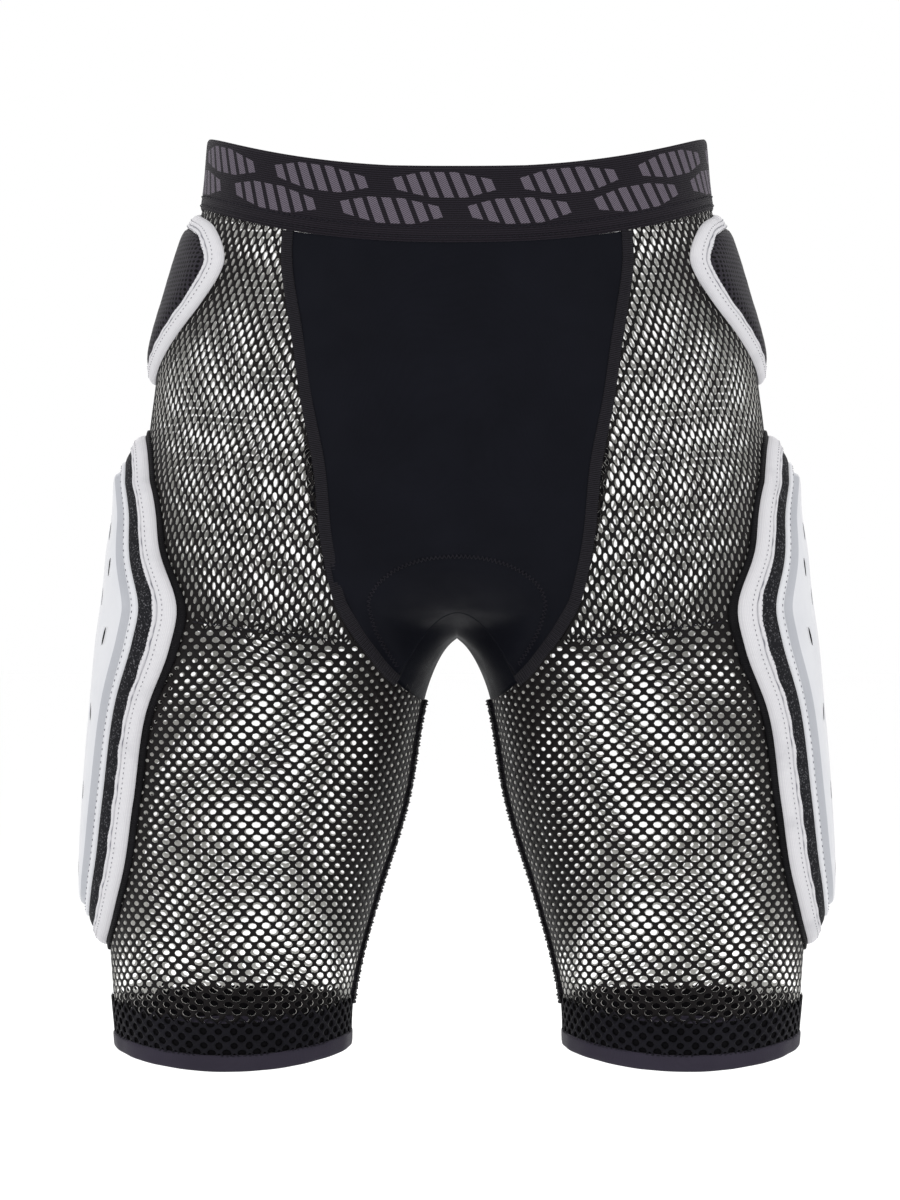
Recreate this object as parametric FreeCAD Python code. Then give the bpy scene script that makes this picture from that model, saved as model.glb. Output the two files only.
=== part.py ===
import FreeCAD, Part
import math
import os
from FreeCAD import Vector

# Padded impact shorts, worn form, in millimetres.
# +Z is up, the wearer faces -Y and the wearer's left is +X.
# The origin is the centre of the waist opening's top plane.

# ---- driving dimensions ------------------------------------------------------
WAIST_HALF_WIDTH = 151.0       # outside of the body form at the rim
WAIST_HALF_DEPTH = 107.0
BAND_HEIGHT = 43.0             # elastic waistband
BAND_THICKNESS = 2.4
RIM_DIP_FRONT = 27.0           # the rim is lowest at the front centre
RIM_DIP_BACK = 2.0
HEM_Z = -556.0                 # lower edge of the hem tape at the sides of the leg
HEM_DIP_FRONT = 8.0
CUFF_HEIGHT = 19.0             # double mesh cuff above the hem tape
HEM_TAPE_HEIGHT = 10.0
FABRIC = 1.2                   # mesh and stretch panels
SEAM_GAP = 0.25                # clearance between sewn pieces
TAPE_WIDTH = 7.0               # overlock seam tapes
TAPE_THICKNESS = 1.9

HIP_Z = -215.0                 # height of the hip joint axis
HIP_Y = 4.0
HIP_RADIUS = 133.0             # the leg starts outside this radius about the hip axis
SIDE_X = 165.0                 # outboard of this the leg reaches up round the hip axis
SIDE_RADIUS = 76.0
FLEX = 45.6                    # degrees kept clear above level for the panel turning up in front
EXTEND = 15.6                  # the same at the back
JOINT_GAP = 0.3

SECTION_POWER = 2.3            # superellipse power of the torso sections

# ---- body form ---------------------------------------------------------------
# Torso stations: height, half width, half depth, centre y.
TORSO = [
    (20.0, 149.0, 105.0, 0.0),
    (0.0, WAIST_HALF_WIDTH, WAIST_HALF_DEPTH, 0.0),
    (-44.0, 156.0, 110.0, 0.5),
    (-90.0, 169.0, 115.0, 2.0),
    (-140.0, 183.0, 120.0, 3.5),
    (-190.0, 190.0, 123.0, 5.0),
    (-230.0, 188.0, 121.0, 5.0),
    (-262.0, 168.0, 105.0, 5.0),
    (-285.0, 128.0, 78.0, 5.0),
    (-300.0, 70.0, 40.0, 4.0),
    (-330.0, 40.0, 20.0, 2.0),
]
# Leg stations: height, centre x, half width, half depth, centre y.
LEG = [
    (-150.0, 92.0, 84.0, 94.0, 6.0),
    (-215.0, 95.0, 96.0, 106.0, 6.0),
    (-260.0, 99.0, 101.0, 108.0, 6.0),
    (-300.0, 106.0, 98.0, 104.0, 6.0),
    (-340.0, 114.0, 93.0, 98.0, 5.0),
    (-400.0, 121.0, 88.5, 89.0, 4.0),
    (-460.0, 130.0, 80.0, 80.0, 3.0),
    (-520.0, 136.5, 71.0, 72.0, 2.0),
    (-560.0, 136.0, 67.0, 68.0, 1.0),
    (-590.0, 136.0, 66.0, 67.0, 1.0),
]
BLEND_RADIUS = 12.0            # softness of the join between torso and legs
BOTTOM_RADIUS = 6.0            # softness of the torso's flat underside
UNDERSIDE_Z = -298.0


def station(table, z):
    """Values of a station table at height z, by a smooth cubic between stations."""
    rows = sorted(table, reverse=True)
    if z >= rows[0][0]:
        return rows[0][1:]
    if z <= rows[-1][0]:
        return rows[-1][1:]
    index = 0
    while rows[index + 1][0] > z:
        index += 1
    upper = rows[index]
    lower = rows[index + 1]
    before = rows[max(index - 1, 0)]
    after = rows[min(index + 2, len(rows) - 1)]
    span = upper[0] - lower[0]
    t = (upper[0] - z) / span
    values = []
    for k in range(1, len(upper)):
        slope_a = (lower[k] - before[k]) / max(before[0] - lower[0], 1.0) * span
        slope_b = (after[k] - upper[k]) / max(upper[0] - after[0], 1.0) * span
        a = 2 * t ** 3 - 3 * t ** 2 + 1
        b = t ** 3 - 2 * t ** 2 + t
        c = -2 * t ** 3 + 3 * t ** 2
        d = t ** 3 - t ** 2
        values.append(a * upper[k] + b * slope_a + c * lower[k] + d * slope_b)
    return values


def soft(a, b, radius):
    """The larger of two values, rounded where they are close."""
    high = max(a, b)
    low = min(a, b)
    return high + radius * math.log(1 + math.exp((low - high) / radius))


def form(x, y, z):
    """Signed distance-like value of the body form: below zero inside."""
    x = abs(x)
    half_width, half_depth, centre_y = station(TORSO, z)
    p = SECTION_POWER
    reach = (x / half_width) ** p + (abs(y - centre_y) / half_depth) ** p
    torso = (reach ** (1 / p) - 1) * min(half_width, half_depth)
    if z > LEG[0][0]:
        return torso
    torso = soft(torso, UNDERSIDE_Z - z, BOTTOM_RADIUS)
    centre_x, leg_x, leg_y, leg_centre_y = station(LEG, z)
    u = (x - centre_x) / leg_x
    v = (y - leg_centre_y) / leg_y
    leg = (math.sqrt(u * u + v * v) - 1) * min(leg_x, leg_y)
    fade = min(1.0, (LEG[0][0] - z) / 60.0)
    return -soft(-torso, -leg, BLEND_RADIUS * fade + 0.01)


def gradient(point):
    """Change of the form per millimetre."""
    step = 0.5
    rise = Vector(
        form(point.x + step, point.y, point.z) - form(point.x - step, point.y, point.z),
        form(point.x, point.y + step, point.z) - form(point.x, point.y - step, point.z),
        form(point.x, point.y, point.z + step) - form(point.x, point.y, point.z - step),
    )
    return rise * (0.5 / step)


def normal(point):
    rise = gradient(point)
    rise.normalize()
    return rise


def settle(point):
    """The point moved square onto the form."""
    for _ in range(3):
        rise = gradient(point)
        point = point - rise * (form(point.x, point.y, point.z) / rise.Length ** 2)
    return point


def cast(origin, direction, outward=True, reach=330.0):
    """Point where a ray crosses the form, from inside out or from outside in."""
    sign = 1.0 if outward else -1.0
    step = 4.0
    near = 0.0
    far = step
    while far < reach:
        p = origin + direction * far
        if sign * form(p.x, p.y, p.z) > 0:
            break
        near = far
        far += step
    for _ in range(24):
        middle = (near + far) / 2
        p = origin + direction * middle
        if sign * form(p.x, p.y, p.z) > 0:
            far = middle
        else:
            near = middle
    return origin + direction * ((near + far) / 2)


# ---- places on the form ------------------------------------------------------
# Half width of the front and seat panels at each height, to the middle of the seam tape.
FRONT_SEAM = [(-40.0, 98.0), (-80.0, 100.0), (-125.0, 94.5), (-200.0, 82.0), (-280.0, 71.0),
              (-300.0, 60.0), (-320.0, 46.0), (-331.0, 37.0)]
SEAT_SEAM = [(-40.0, 86.0), (-120.0, 92.0), (-200.0, 94.0), (-255.0, 84.0), (-280.0, 72.0),
             (-300.0, 57.0), (-320.0, 42.0), (-331.0, 34.0)]
TAPE_END_Z = -317.0
SEAM_END_Z = -331.0
PANEL_END_Z = -288.0           # where the panels meet the gusset on the centre line
PANEL_TOP_POWER = 2.3          # curve of the panels' top edges
TUNNEL_Z = -352.0              # rays for the gusset start between the thighs at this height
FRONT = -1.0
BACK = 1.0


def centre_y(z):
    return station(TORSO, max(z, -262.0))[2]


def leg_centre(z):
    """Middle of the side surface's section at height z."""
    return station(LEG, z)[0]


def rim(y):
    """Height of the waist rim over depth y."""
    dip = RIM_DIP_FRONT if y < 0 else RIM_DIP_BACK
    return -dip * (y / WAIST_HALF_DEPTH) ** 2


def polar(z, angle):
    """Point of the left side at height z; 0 is outward, 90 is front, 180 is the inseam."""
    a = math.radians(angle)
    origin = Vector(leg_centre(z), centre_y(z), z)
    return cast(origin, Vector(math.cos(a), -math.sin(a), 0))


def facing(x, z, way):
    """Point of the front (way -1) or back (way +1) surface at x, z."""
    return cast(Vector(x, centre_y(z), z), Vector(0, way, 0))


def angle_at(point):
    return math.degrees(math.atan2(-(point.y - centre_y(point.z)), point.x - leg_centre(point.z)))


def border_angle(z, way, shift):
    """Angle of the mesh's border at height z, moved outboard by shift."""
    table = FRONT_SEAM if way == FRONT else SEAT_SEAM
    return angle_at(facing(station(table, z)[0] + shift, z, way))


# ---- building blocks ---------------------------------------------------------
def surface(points):
    spline = Part.BSplineSurface()
    spline.interpolate(points)
    return spline


def patch(points, low, high):
    """Closed solid between two offsets of a grid of points on the form."""
    normals = [[normal(p) for p in row] for row in points]
    faces = []
    splines = []
    for offset in (low, high):
        grid = [[p + n * offset for p, n in zip(row, line)] for row, line in zip(points, normals)]
        spline = surface(grid)
        splines.append(spline)
        faces.append(spline.toShape())
    u0, u1, v0, v1 = splines[0].bounds()
    s0, s1, t0, t1 = splines[1].bounds()
    pairs = [
        (splines[0].uIso(u0), splines[1].uIso(s0)),
        (splines[0].uIso(u1), splines[1].uIso(s1)),
        (splines[0].vIso(v0), splines[1].vIso(t0)),
        (splines[0].vIso(v1), splines[1].vIso(t1)),
    ]
    for a, b in pairs:
        faces.append(Part.makeRuledSurface(a.toShape(), b.toShape()))
    shell = Part.makeShell(faces)
    shell.sewShape()
    solid = Part.makeSolid(shell.Shells[0])
    if solid.Volume < 0:
        solid = Part.makeSolid(shell.Shells[0].reversed())
    return solid


def steps(start, end, count):
    return [start + (end - start) * i / (count - 1) for i in range(count)]


def evened(column, count):
    """Points at equal distances along a column of close points, on the form."""
    reach = [0.0]
    for start, end in zip(column, column[1:]):
        reach.append(reach[-1] + (end - start).Length)
    spots = []
    k = 0
    for target in steps(0, reach[-1], count):
        while k < len(column) - 2 and reach[k + 1] < target:
            k += 1
        share = (target - reach[k]) / (reach[k + 1] - reach[k])
        spots.append(settle(column[k] + (column[k + 1] - column[k]) * share))
    return spots


def even_grid(columns, count):
    """Rows of evenly spaced points from columns of close points."""
    spaced = [evened(column, count) for column in columns]
    return [[column[i] for column in spaced] for i in range(count)]


def side_grid(heights, back_angle, front_angle, count):
    """Rows of points round the left side; the angles are functions of height."""
    return [[polar(z, a) for a in steps(back_angle(z), front_angle(z), count)] for z in heights]


def side_layer(low, high, top, bottom):
    """A thick layer over the outside of the hip and thigh, to be cut to an outline."""
    rows = steps(top, bottom, max(8, int((top - bottom) / 18)))
    return patch(side_grid(rows, lambda z: -74.0, lambda z: 74.0, 13), low, high)


def outline_curve(points):
    """Closed smooth curve through flat points."""
    curve = Part.BSplineCurve()
    curve.interpolate([Vector(a, b, 0) for a, b in points], PeriodicFlag=True)
    return curve


def inset_spot(curve, share, inset):
    """Flat point a share of the way round a curve, moved to its inside."""
    first = curve.FirstParameter
    here = first + share * (curve.LastParameter - first)
    spot = curve.value(here)
    along = curve.tangent(here)[0]
    return spot.x - along.y * inset, spot.y + along.x * inset


def outline_prism(points, inset, place, sweep):
    """Prism through a closed outline moved inward by inset."""
    curve = outline_curve(points)
    count = 36
    corners = [place(*inset_spot(curve, i / count, inset)) for i in range(count)]
    border = Part.BSplineCurve()
    border.interpolate(corners, PeriodicFlag=True)
    return Part.Face(Part.Wire(border.toShape())).extrude(sweep)


def side_outline(points, inset=0.0):
    """Prism along X through a closed outline given as (y, z)."""
    return outline_prism(points, inset, lambda y, z: Vector(60.0, y, z), Vector(260, 0, 0))


def back_outline(points, inset=0.0):
    """Prism along Y through a closed outline given as (x, z)."""
    return outline_prism(points, inset, lambda x, z: Vector(x, 50.0, z), Vector(0, 150, 0))


def mirrored(shape):
    return shape.mirror(Vector(0, 0, 0), Vector(1, 0, 0))


def below_hip_circle(gap):
    """Everything under the hip axis and outside the hip radius, on the left."""
    low = Part.makeBox(260, 500, 420, Vector(1, -250, HIP_Z - 420))
    return low.cut(Part.makeCylinder(HIP_RADIUS - gap, 400, Vector(-60, HIP_Y, HIP_Z), Vector(1, 0, 0)))


def hip_spot(x, radius, angle, way):
    """Point round the hip axis, angle degrees above level on the front or the back."""
    a = math.radians(angle)
    return Vector(x, HIP_Y + way * radius * math.cos(a), HIP_Z + radius * math.sin(a))


def side_window(gap, front_angle, back_angle):
    """Prism outboard of SIDE_X round the hip axis.

    It is a disc of SIDE_RADIUS, and one of HIP_RADIUS under the two angles above level.
    """
    inner = SIDE_RADIUS + gap
    outer = HIP_RADIUS + gap
    x = SIDE_X - gap
    front = hip_spot(x, inner, front_angle, FRONT)
    back = hip_spot(x, inner, back_angle, BACK)
    far_front = hip_spot(x, outer, front_angle, FRONT)
    far_back = hip_spot(x, outer, back_angle, BACK)
    edges = [
        Part.Arc(front, Vector(x, HIP_Y, HIP_Z + inner), back).toShape(),
        Part.LineSegment(back, far_back).toShape(),
        Part.Arc(far_back, Vector(x, HIP_Y, HIP_Z - outer), far_front).toShape(),
        Part.LineSegment(far_front, front).toShape(),
    ]
    return Part.Face(Part.Wire(edges)).extrude(Vector(120, 0, 0))


# ---- waist -------------------------------------------------------------------
def ring_point(angle, drop):
    """Point round the torso, drop millimetres under the rim; 0 is the back centre."""
    a = math.radians(angle)
    direction = Vector(math.sin(a), math.cos(a), 0)
    z = -drop
    point = cast(Vector(0, centre_y(z), z), direction)
    for _ in range(3):
        z = rim(point.y) - drop
        point = cast(Vector(0, centre_y(z), z), direction)
    return point


def make_waistband():
    rows = [[ring_point(a, drop) for a in steps(0.1, 359.9, 49)] for drop in steps(0, BAND_HEIGHT, 5)]
    return patch(rows, 0.0, BAND_THICKNESS)


def make_care_label():
    rows = [[facing(x, z, BACK) for x in steps(-14, 14, 4)] for z in steps(-8, -48, 5)]
    return patch(rows, -0.8, -0.3)


# ---- centre panels -----------------------------------------------------------
CENTRE_INSET = TAPE_WIDTH / 2 + SEAM_GAP
PANEL_END_SHARE = 0.99         # the panels stop this share of the way down, short of the gusset
GUSSET_END = 0.985             # share of the way to the panels that the gusset reaches
CHAMOIS_FRONT_START = 0.84     # share of the way down the front panel where the chamois starts
CHAMOIS_BACK_START = 0.70      # the same on the seat panel
CHAMOIS_WIDTH = 0.86           # share of the panel's width
CHAMOIS_END_WIDTH = 0.38       # share of the chamois's width at its square-cut ends
CHAMOIS_FOAM = (-8.8, -3.0)
CHAMOIS_COVER = (-10.4, -9.3)


BAND_EDGES = {}


def band_edge(x, way):
    """Height just under the waistband's lower edge at x on the front or back."""
    place = (round(x, 2), way)
    if place not in BAND_EDGES:
        drop = BAND_HEIGHT + SEAM_GAP
        z = -drop
        for _ in range(4):
            z = rim(facing(x, z, way).y) - drop
        BAND_EDGES[place] = z
    return BAND_EDGES[place]


def panel_place(s, r, table, inset):
    """Place (x, z) on a centre panel: s from -1 to 1 across, r from 0 top to 1 bottom."""
    way = FRONT if table is FRONT_SEAM else BACK
    corner = station(table, -BAND_HEIGHT)[0] - inset
    seam_top = band_edge(corner, way)
    seam_z = seam_top + (SEAM_END_Z - seam_top) * r
    x = s * (station(table, seam_z)[0] - inset)
    centre_top = band_edge(0.0, way)
    rise = (seam_top - centre_top) * abs(s) ** PANEL_TOP_POWER
    top = centre_top + rise - SEAM_GAP
    bottom = PANEL_END_Z + (SEAM_END_Z - PANEL_END_Z) * s * s
    return x, top + (bottom - top) * r


def panel_column(table, way, s, start, end, count):
    """Close points down a centre panel at share s of its width."""
    places = [panel_place(s, r, table, CENTRE_INSET) for r in steps(start, end, count)]
    return [facing(x, z, way) for x, z in places]


def gusset_point(s, q):
    """Point of the crotch gusset: s across, q from -1 at the front to 1 at the back."""
    ends = []
    for table, way in ((FRONT_SEAM, FRONT), (SEAT_SEAM, BACK)):
        x, z = panel_place(s, 1.0, table, CENTRE_INSET)
        ends.append(facing(x, z, way))
    front, back = ends
    front_angle = math.atan2(front.x, front.z - TUNNEL_Z)
    back_angle = math.atan2(back.x, back.z - TUNNEL_Z)
    middle_angle = s * math.radians(68.0)
    y = front.y * (1 - q) / 2 + back.y * (1 + q) / 2
    a = front_angle * q * (q - 1) / 2 + middle_angle * (1 - q * q) + back_angle * q * (q + 1) / 2
    return cast(Vector(0, y, TUNNEL_Z), Vector(math.sin(a), 0, math.cos(a)), outward=False)


def make_panel(table, way):
    columns = [panel_column(table, way, s, 0.0, PANEL_END_SHARE, 90) for s in steps(-1, 1, 17)]
    return patch(even_grid(columns, 31), 0.0, FABRIC)


def make_gusset():
    columns = [[gusset_point(s, q) for q in steps(-GUSSET_END, GUSSET_END, 50)]
               for s in steps(-1, 1, 17)]
    return patch(even_grid(columns, 19), 0.0, FABRIC)


def chamois_end(table, way, start, s):
    """Close points from a rounded end of the chamois down to the gusset."""
    points = []
    for r in steps(start, 0.99, 16):
        share = min(1.0, (r - start) / (1 - start) / 0.75)
        rounding = math.sqrt(1 - (1 - share) ** 2)
        across = s * CHAMOIS_WIDTH * (CHAMOIS_END_WIDTH + (1 - CHAMOIS_END_WIDTH) * rounding)
        x, z = panel_place(across, r, table, CENTRE_INSET)
        points.append(facing(x, z, way))
    return points


def make_chamois(low, high):
    """Saddle pad inside the crotch, rounded at both ends."""
    columns = []
    for s in steps(-1, 1, 11):
        column = chamois_end(FRONT_SEAM, FRONT, CHAMOIS_FRONT_START, s)
        column += [gusset_point(s * CHAMOIS_WIDTH, q) for q in steps(-1, 1, 30)]
        column += reversed(chamois_end(SEAT_SEAM, BACK, CHAMOIS_BACK_START, s))
        columns.append(column)
    return patch(even_grid(columns, 27), low, high)


# ---- side fabric -------------------------------------------------------------
def make_hip_layer():
    """Side fabric from the waistband down to where the seams reach the thigh."""
    shift = TAPE_WIDTH / 2 + 3 * SEAM_GAP
    top = -BAND_HEIGHT - SEAM_GAP
    rows = []
    for share in steps(0, 1, 30):
        row = []
        start = steps(border_angle(top, BACK, shift), border_angle(top, FRONT, shift), 25)
        z_level = top + (SEAM_END_Z - top) * share
        angles = steps(border_angle(z_level, BACK, shift), border_angle(z_level, FRONT, shift), 25)
        for first, angle in zip(start, angles):
            dip = rim(polar(top, first).y) * (1 - share)
            row.append(polar(z_level + dip, angle))
        rows.append(row)
    return patch(rows, 0.0, FABRIC)


def leg_top(angle, gap):
    """Height where the leg's section meets the hip circle at this angle."""
    high = HIP_Z - 20.0
    low = HIP_Z - HIP_RADIUS - 6.0
    for _ in range(22):
        z = (high + low) / 2
        p = polar(z, angle)
        if math.hypot(p.y - HIP_Y, z - HIP_Z) > HIP_RADIUS + gap:
            low = z
        else:
            high = z
    return (high + low) / 2


def make_leg_mesh():
    half = 180.0 - math.degrees((TAPE_WIDTH / 2 + SEAM_GAP) / 80.0)
    bottom = HEM_TAPE_HEIGHT + CUFF_HEIGHT + SEAM_GAP
    angles = steps(-half, half, 41)
    tops = [leg_top(a, JOINT_GAP + 0.2) for a in angles]
    rows = []
    for share in steps(0, 1, 16):
        row = []
        for a, top in zip(angles, tops):
            end = hem_height(-70.0 * math.sin(math.radians(a)), bottom)
            row.append(polar(top + (end - top) * share, a))
        rows.append(row)
    return patch(rows, 0.0, FABRIC)


def make_seam_tape(table, way):
    """Overlock tape between a centre panel and the side mesh."""
    start = band_edge(station(table, -BAND_HEIGHT)[0] - TAPE_WIDTH / 2, way) - SEAM_GAP
    rows = []
    for z in steps(start, TAPE_END_Z, 20):
        x = station(table, z)[0]
        rows.append([facing(x + w * TAPE_WIDTH / 2, z, way) for w in (-1, 0, 1)])
    return patch(rows, 0.0, TAPE_THICKNESS)


def make_inseam_tape():
    rows = []
    for z in steps(HIP_Z - HIP_RADIUS - 1.0, HEM_Z + HEM_TAPE_HEIGHT + CUFF_HEIGHT + 1, 14):
        half = math.degrees(TAPE_WIDTH / 2 / 80.0)
        rows.append([polar(z, a) for a in (180 - half, 180, 180 + half)])
    return patch(rows, 0.0, TAPE_THICKNESS)


def hem_height(y, rise):
    front = max(0.0, -y) / 70.0
    return HEM_Z + rise - HEM_DIP_FRONT * front * front


def make_leg_ring(rise, height, thickness):
    """Open ring of fabric round the hem, sewn shut at the inseam."""
    rows = []
    for step in steps(0, height, 4):
        row = []
        for a in steps(-179.8, 179.8, 37):
            y = -70.0 * math.sin(math.radians(a))
            row.append(polar(hem_height(y, rise + step), a))
        rows.append(row)
    return patch(rows, 0.0, thickness)


# ---- pads --------------------------------------------------------------------
# Half outlines from the top round the front to the tip, as (distance from the middle, height).
HIP_PAD = [(26.0, -50.0), (57.0, -60.0), (71.0, -80.0), (64.0, -102.0), (46.0, -123.0), (24.0, -139.0)]
HIP_PAD_TOP = -47.0
HIP_PAD_TIP = -148.0
GUARD = [(27.0, -189.0), (50.0, -215.0), (63.0, -250.0), (77.0, -288.0), (74.0, -312.0),
         (60.0, -352.0), (52.0, -405.0), (41.0, -455.0), (22.0, -483.0)]
GUARD_TOP = -183.0
GUARD_TIP = -492.0
TAIL_PAD = [(24.0, -116.0), (40.0, -140.0), (38.0, -175.0), (26.0, -215.0), (12.0, -238.0)]
TAIL_PAD_TOP = -110.0
TAIL_PAD_TIP = -244.0
PAD_CENTRE_Y = 3.0
BINDING_WIDTH = 9.0
TAIL_BINDING_WIDTH = 7.0
HIP_FOAM = (1.5, 10.0)
HIP_COVER = (10.3, 11.4)
HIP_CLEARANCE = 3.0            # gap at the surface between the hip pad's binding and foam
BACKING = (2.0, 2.8)
GUARD_FOAM = (3.6, 10.5)
GUARD_FELT = (10.7, 12.0)
SHELL_FLANGE = (12.2, 14.4)
SHELL_FACE = (13.4, 18.4)
SHELL_INSET = 21.0             # felt shows between the binding and the shell
FACE_INSET = 29.0              # raised face inside the shell's flange
BINDING_RISE = 7.0
BINDING_JOINT = 0.0004         # share of the outline left open where the tape's ends meet
# Vent slots in the shell's raised face: distance from the middle, height, tilt in degrees.
VENTS = [(20.0, -240.0, 20.0), (30.0, -262.0, -15.0), (12.0, -280.0, 25.0), (30.0, -302.0, -20.0),
         (14.0, -350.0, 20.0), (9.0, -398.0, 12.0), (6.0, -446.0, 8.0)]
VENT_LENGTH = 12.0
VENT_WIDTH = 2.6


def full_outline(half, top, tip, middle):
    """Closed outline from a half outline, symmetric about the middle."""
    points = [(middle, top)]
    points += [(middle - d, z) for d, z in half]
    points.append((middle, tip))
    points += [(middle + d, z) for d, z in reversed(half)]
    return points


def side_place(y, z):
    """Point of the side surface at (y, z)."""
    return cast(Vector(60.0, y, z), Vector(1, 0, 0))


def back_place(x, z):
    """Point of the back surface at (x, z)."""
    return facing(x, z, BACK)


def make_binding(points, width, place, low, high):
    """Folded tape round a closed outline, its two ends meeting at the top."""
    curve = outline_curve(points)
    shares = steps(BINDING_JOINT, 1 - BINDING_JOINT, 73)
    rows = [[place(*inset_spot(curve, share, inset)) for share in shares] for inset in (0, width / 2, width)]
    return patch(rows, low, high)


def vent_cutters():
    cutters = []
    for distance, z, tilt in VENTS:
        for way in (-1, 1):
            slot = Part.makeBox(200, VENT_WIDTH, VENT_LENGTH)
            slot.translate(Vector(100, -VENT_WIDTH / 2, -VENT_LENGTH / 2))
            slot.rotate(Vector(0, 0, 0), Vector(1, 0, 0), way * tilt)
            slot.translate(Vector(0, PAD_CENTRE_Y + way * distance, z))
            cutters.append(slot)
    return cutters


def make_guard():
    """Thigh guard pieces of the left side, from the mesh outward."""
    outline = full_outline(GUARD, GUARD_TOP, GUARD_TIP, PAD_CENTRE_Y)
    top = GUARD_TOP + 14
    bottom = GUARD_TIP - 14
    whole = side_outline(outline)
    clear_of_binding = side_outline(outline, BINDING_WIDTH + SEAM_GAP)
    backing = side_layer(BACKING[0], BACKING[1], top, bottom).common(whole)
    foam = side_layer(GUARD_FOAM[0], GUARD_FOAM[1], top, bottom).common(clear_of_binding)
    felt = side_layer(GUARD_FELT[0], GUARD_FELT[1], top, bottom).common(clear_of_binding)
    binding = make_binding(outline, BINDING_WIDTH, side_place, GUARD_FOAM[0], GUARD_FELT[1] + 0.8)
    flange = side_layer(SHELL_FLANGE[0], SHELL_FLANGE[1], top, bottom).common(side_outline(outline, SHELL_INSET))
    face = side_layer(SHELL_FACE[0], SHELL_FACE[1], top, bottom).common(side_outline(outline, FACE_INSET))
    shell = flange.fuse(face).cut(vent_cutters())
    return backing, foam, felt, binding, shell


def make_hip_pad():
    outline = full_outline(HIP_PAD, HIP_PAD_TOP, HIP_PAD_TIP, PAD_CENTRE_Y)
    top = HIP_PAD_TOP + 14
    bottom = HIP_PAD_TIP - 14
    clear_of_binding = side_outline(outline, BINDING_WIDTH + HIP_CLEARANCE)
    foam = side_layer(HIP_FOAM[0], HIP_FOAM[1], top, bottom).common(clear_of_binding)
    cover = side_layer(HIP_COVER[0], HIP_COVER[1], top, bottom).common(clear_of_binding)
    binding = make_binding(outline, BINDING_WIDTH, side_place, BACKING[0], BACKING[1] + BINDING_RISE)
    return foam, cover, binding


def make_tail_pad():
    outline = full_outline(TAIL_PAD, TAIL_PAD_TOP, TAIL_PAD_TIP, 0.0)
    rows = [[facing(x, z, BACK) for x in steps(-56, 56, 11)]
            for z in steps(TAIL_PAD_TOP + 12, TAIL_PAD_TIP - 12, 10)]
    clear_of_binding = back_outline(outline, TAIL_BINDING_WIDTH + SEAM_GAP)
    foam = patch(rows, HIP_FOAM[0], HIP_FOAM[1]).common(clear_of_binding)
    cover = patch(rows, HIP_COVER[0], HIP_COVER[1]).common(clear_of_binding)
    binding = make_binding(outline, TAIL_BINDING_WIDTH, back_place, BACKING[0], BACKING[1] + BINDING_RISE)
    return foam, cover, binding


# ---- assembly ----------------------------------------------------------------
def single(shape):
    """The one solid that a boolean result holds."""
    solids = sorted(shape.Solids, key=lambda s: s.Volume)
    return solids[-1]


def build():
    nodes = {}
    nodes["waistband"] = make_waistband()
    nodes["care_label"] = make_care_label()
    nodes["front_panel"] = make_panel(FRONT_SEAM, FRONT)
    nodes["seat_panel"] = make_panel(SEAT_SEAM, BACK)
    nodes["crotch_gusset"] = make_gusset()
    nodes["chamois_foam"] = make_chamois(CHAMOIS_FOAM[0], CHAMOIS_FOAM[1])
    nodes["chamois_cover"] = make_chamois(CHAMOIS_COVER[0], CHAMOIS_COVER[1])
    hip = make_hip_layer()
    left = {
        "hip_mesh": single(hip.cut(side_window(JOINT_GAP, FLEX, EXTEND)).cut(below_hip_circle(0.0))),
        "side_panel": single(hip.common(side_window(0.0, 0.0, 0.0))),
        "leg_mesh": make_leg_mesh(),
        "front_seam_tape": make_seam_tape(FRONT_SEAM, FRONT),
        "back_seam_tape": make_seam_tape(SEAT_SEAM, BACK),
        "inseam_tape": make_inseam_tape(),
        "hem_cuff": make_leg_ring(HEM_TAPE_HEIGHT + SEAM_GAP, CUFF_HEIGHT - SEAM_GAP, FABRIC * 2),
        "hem_tape": make_leg_ring(0.0, HEM_TAPE_HEIGHT, FABRIC * 2 + 0.4),
    }
    left["guard_backing"], left["guard_foam"], left["guard_felt"], left["guard_binding"], \
        left["guard_shell"] = make_guard()
    left["hip_pad_foam"], left["hip_pad_cover"], left["hip_pad_binding"] = make_hip_pad()
    for name, shape in left.items():
        nodes["left_" + name] = shape
        nodes["right_" + name] = mirrored(shape)
    nodes["tail_pad_foam"], nodes["tail_pad_cover"], nodes["tail_pad_binding"] = make_tail_pad()
    return nodes


os.makedirs("parts", exist_ok=True)
for name, shape in build().items():
    box = shape.BoundBox
    print("%-26s solids %d valid %s volume %9.0f  x %.0f..%.0f y %.0f..%.0f z %.0f..%.0f" % (
        name, len(shape.Solids), shape.isValid(), shape.Volume,
        box.XMin, box.XMax, box.YMin, box.YMax, box.ZMin, box.ZMax))
    shape.exportStep("parts/" + name + ".step")
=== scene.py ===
import math

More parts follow.
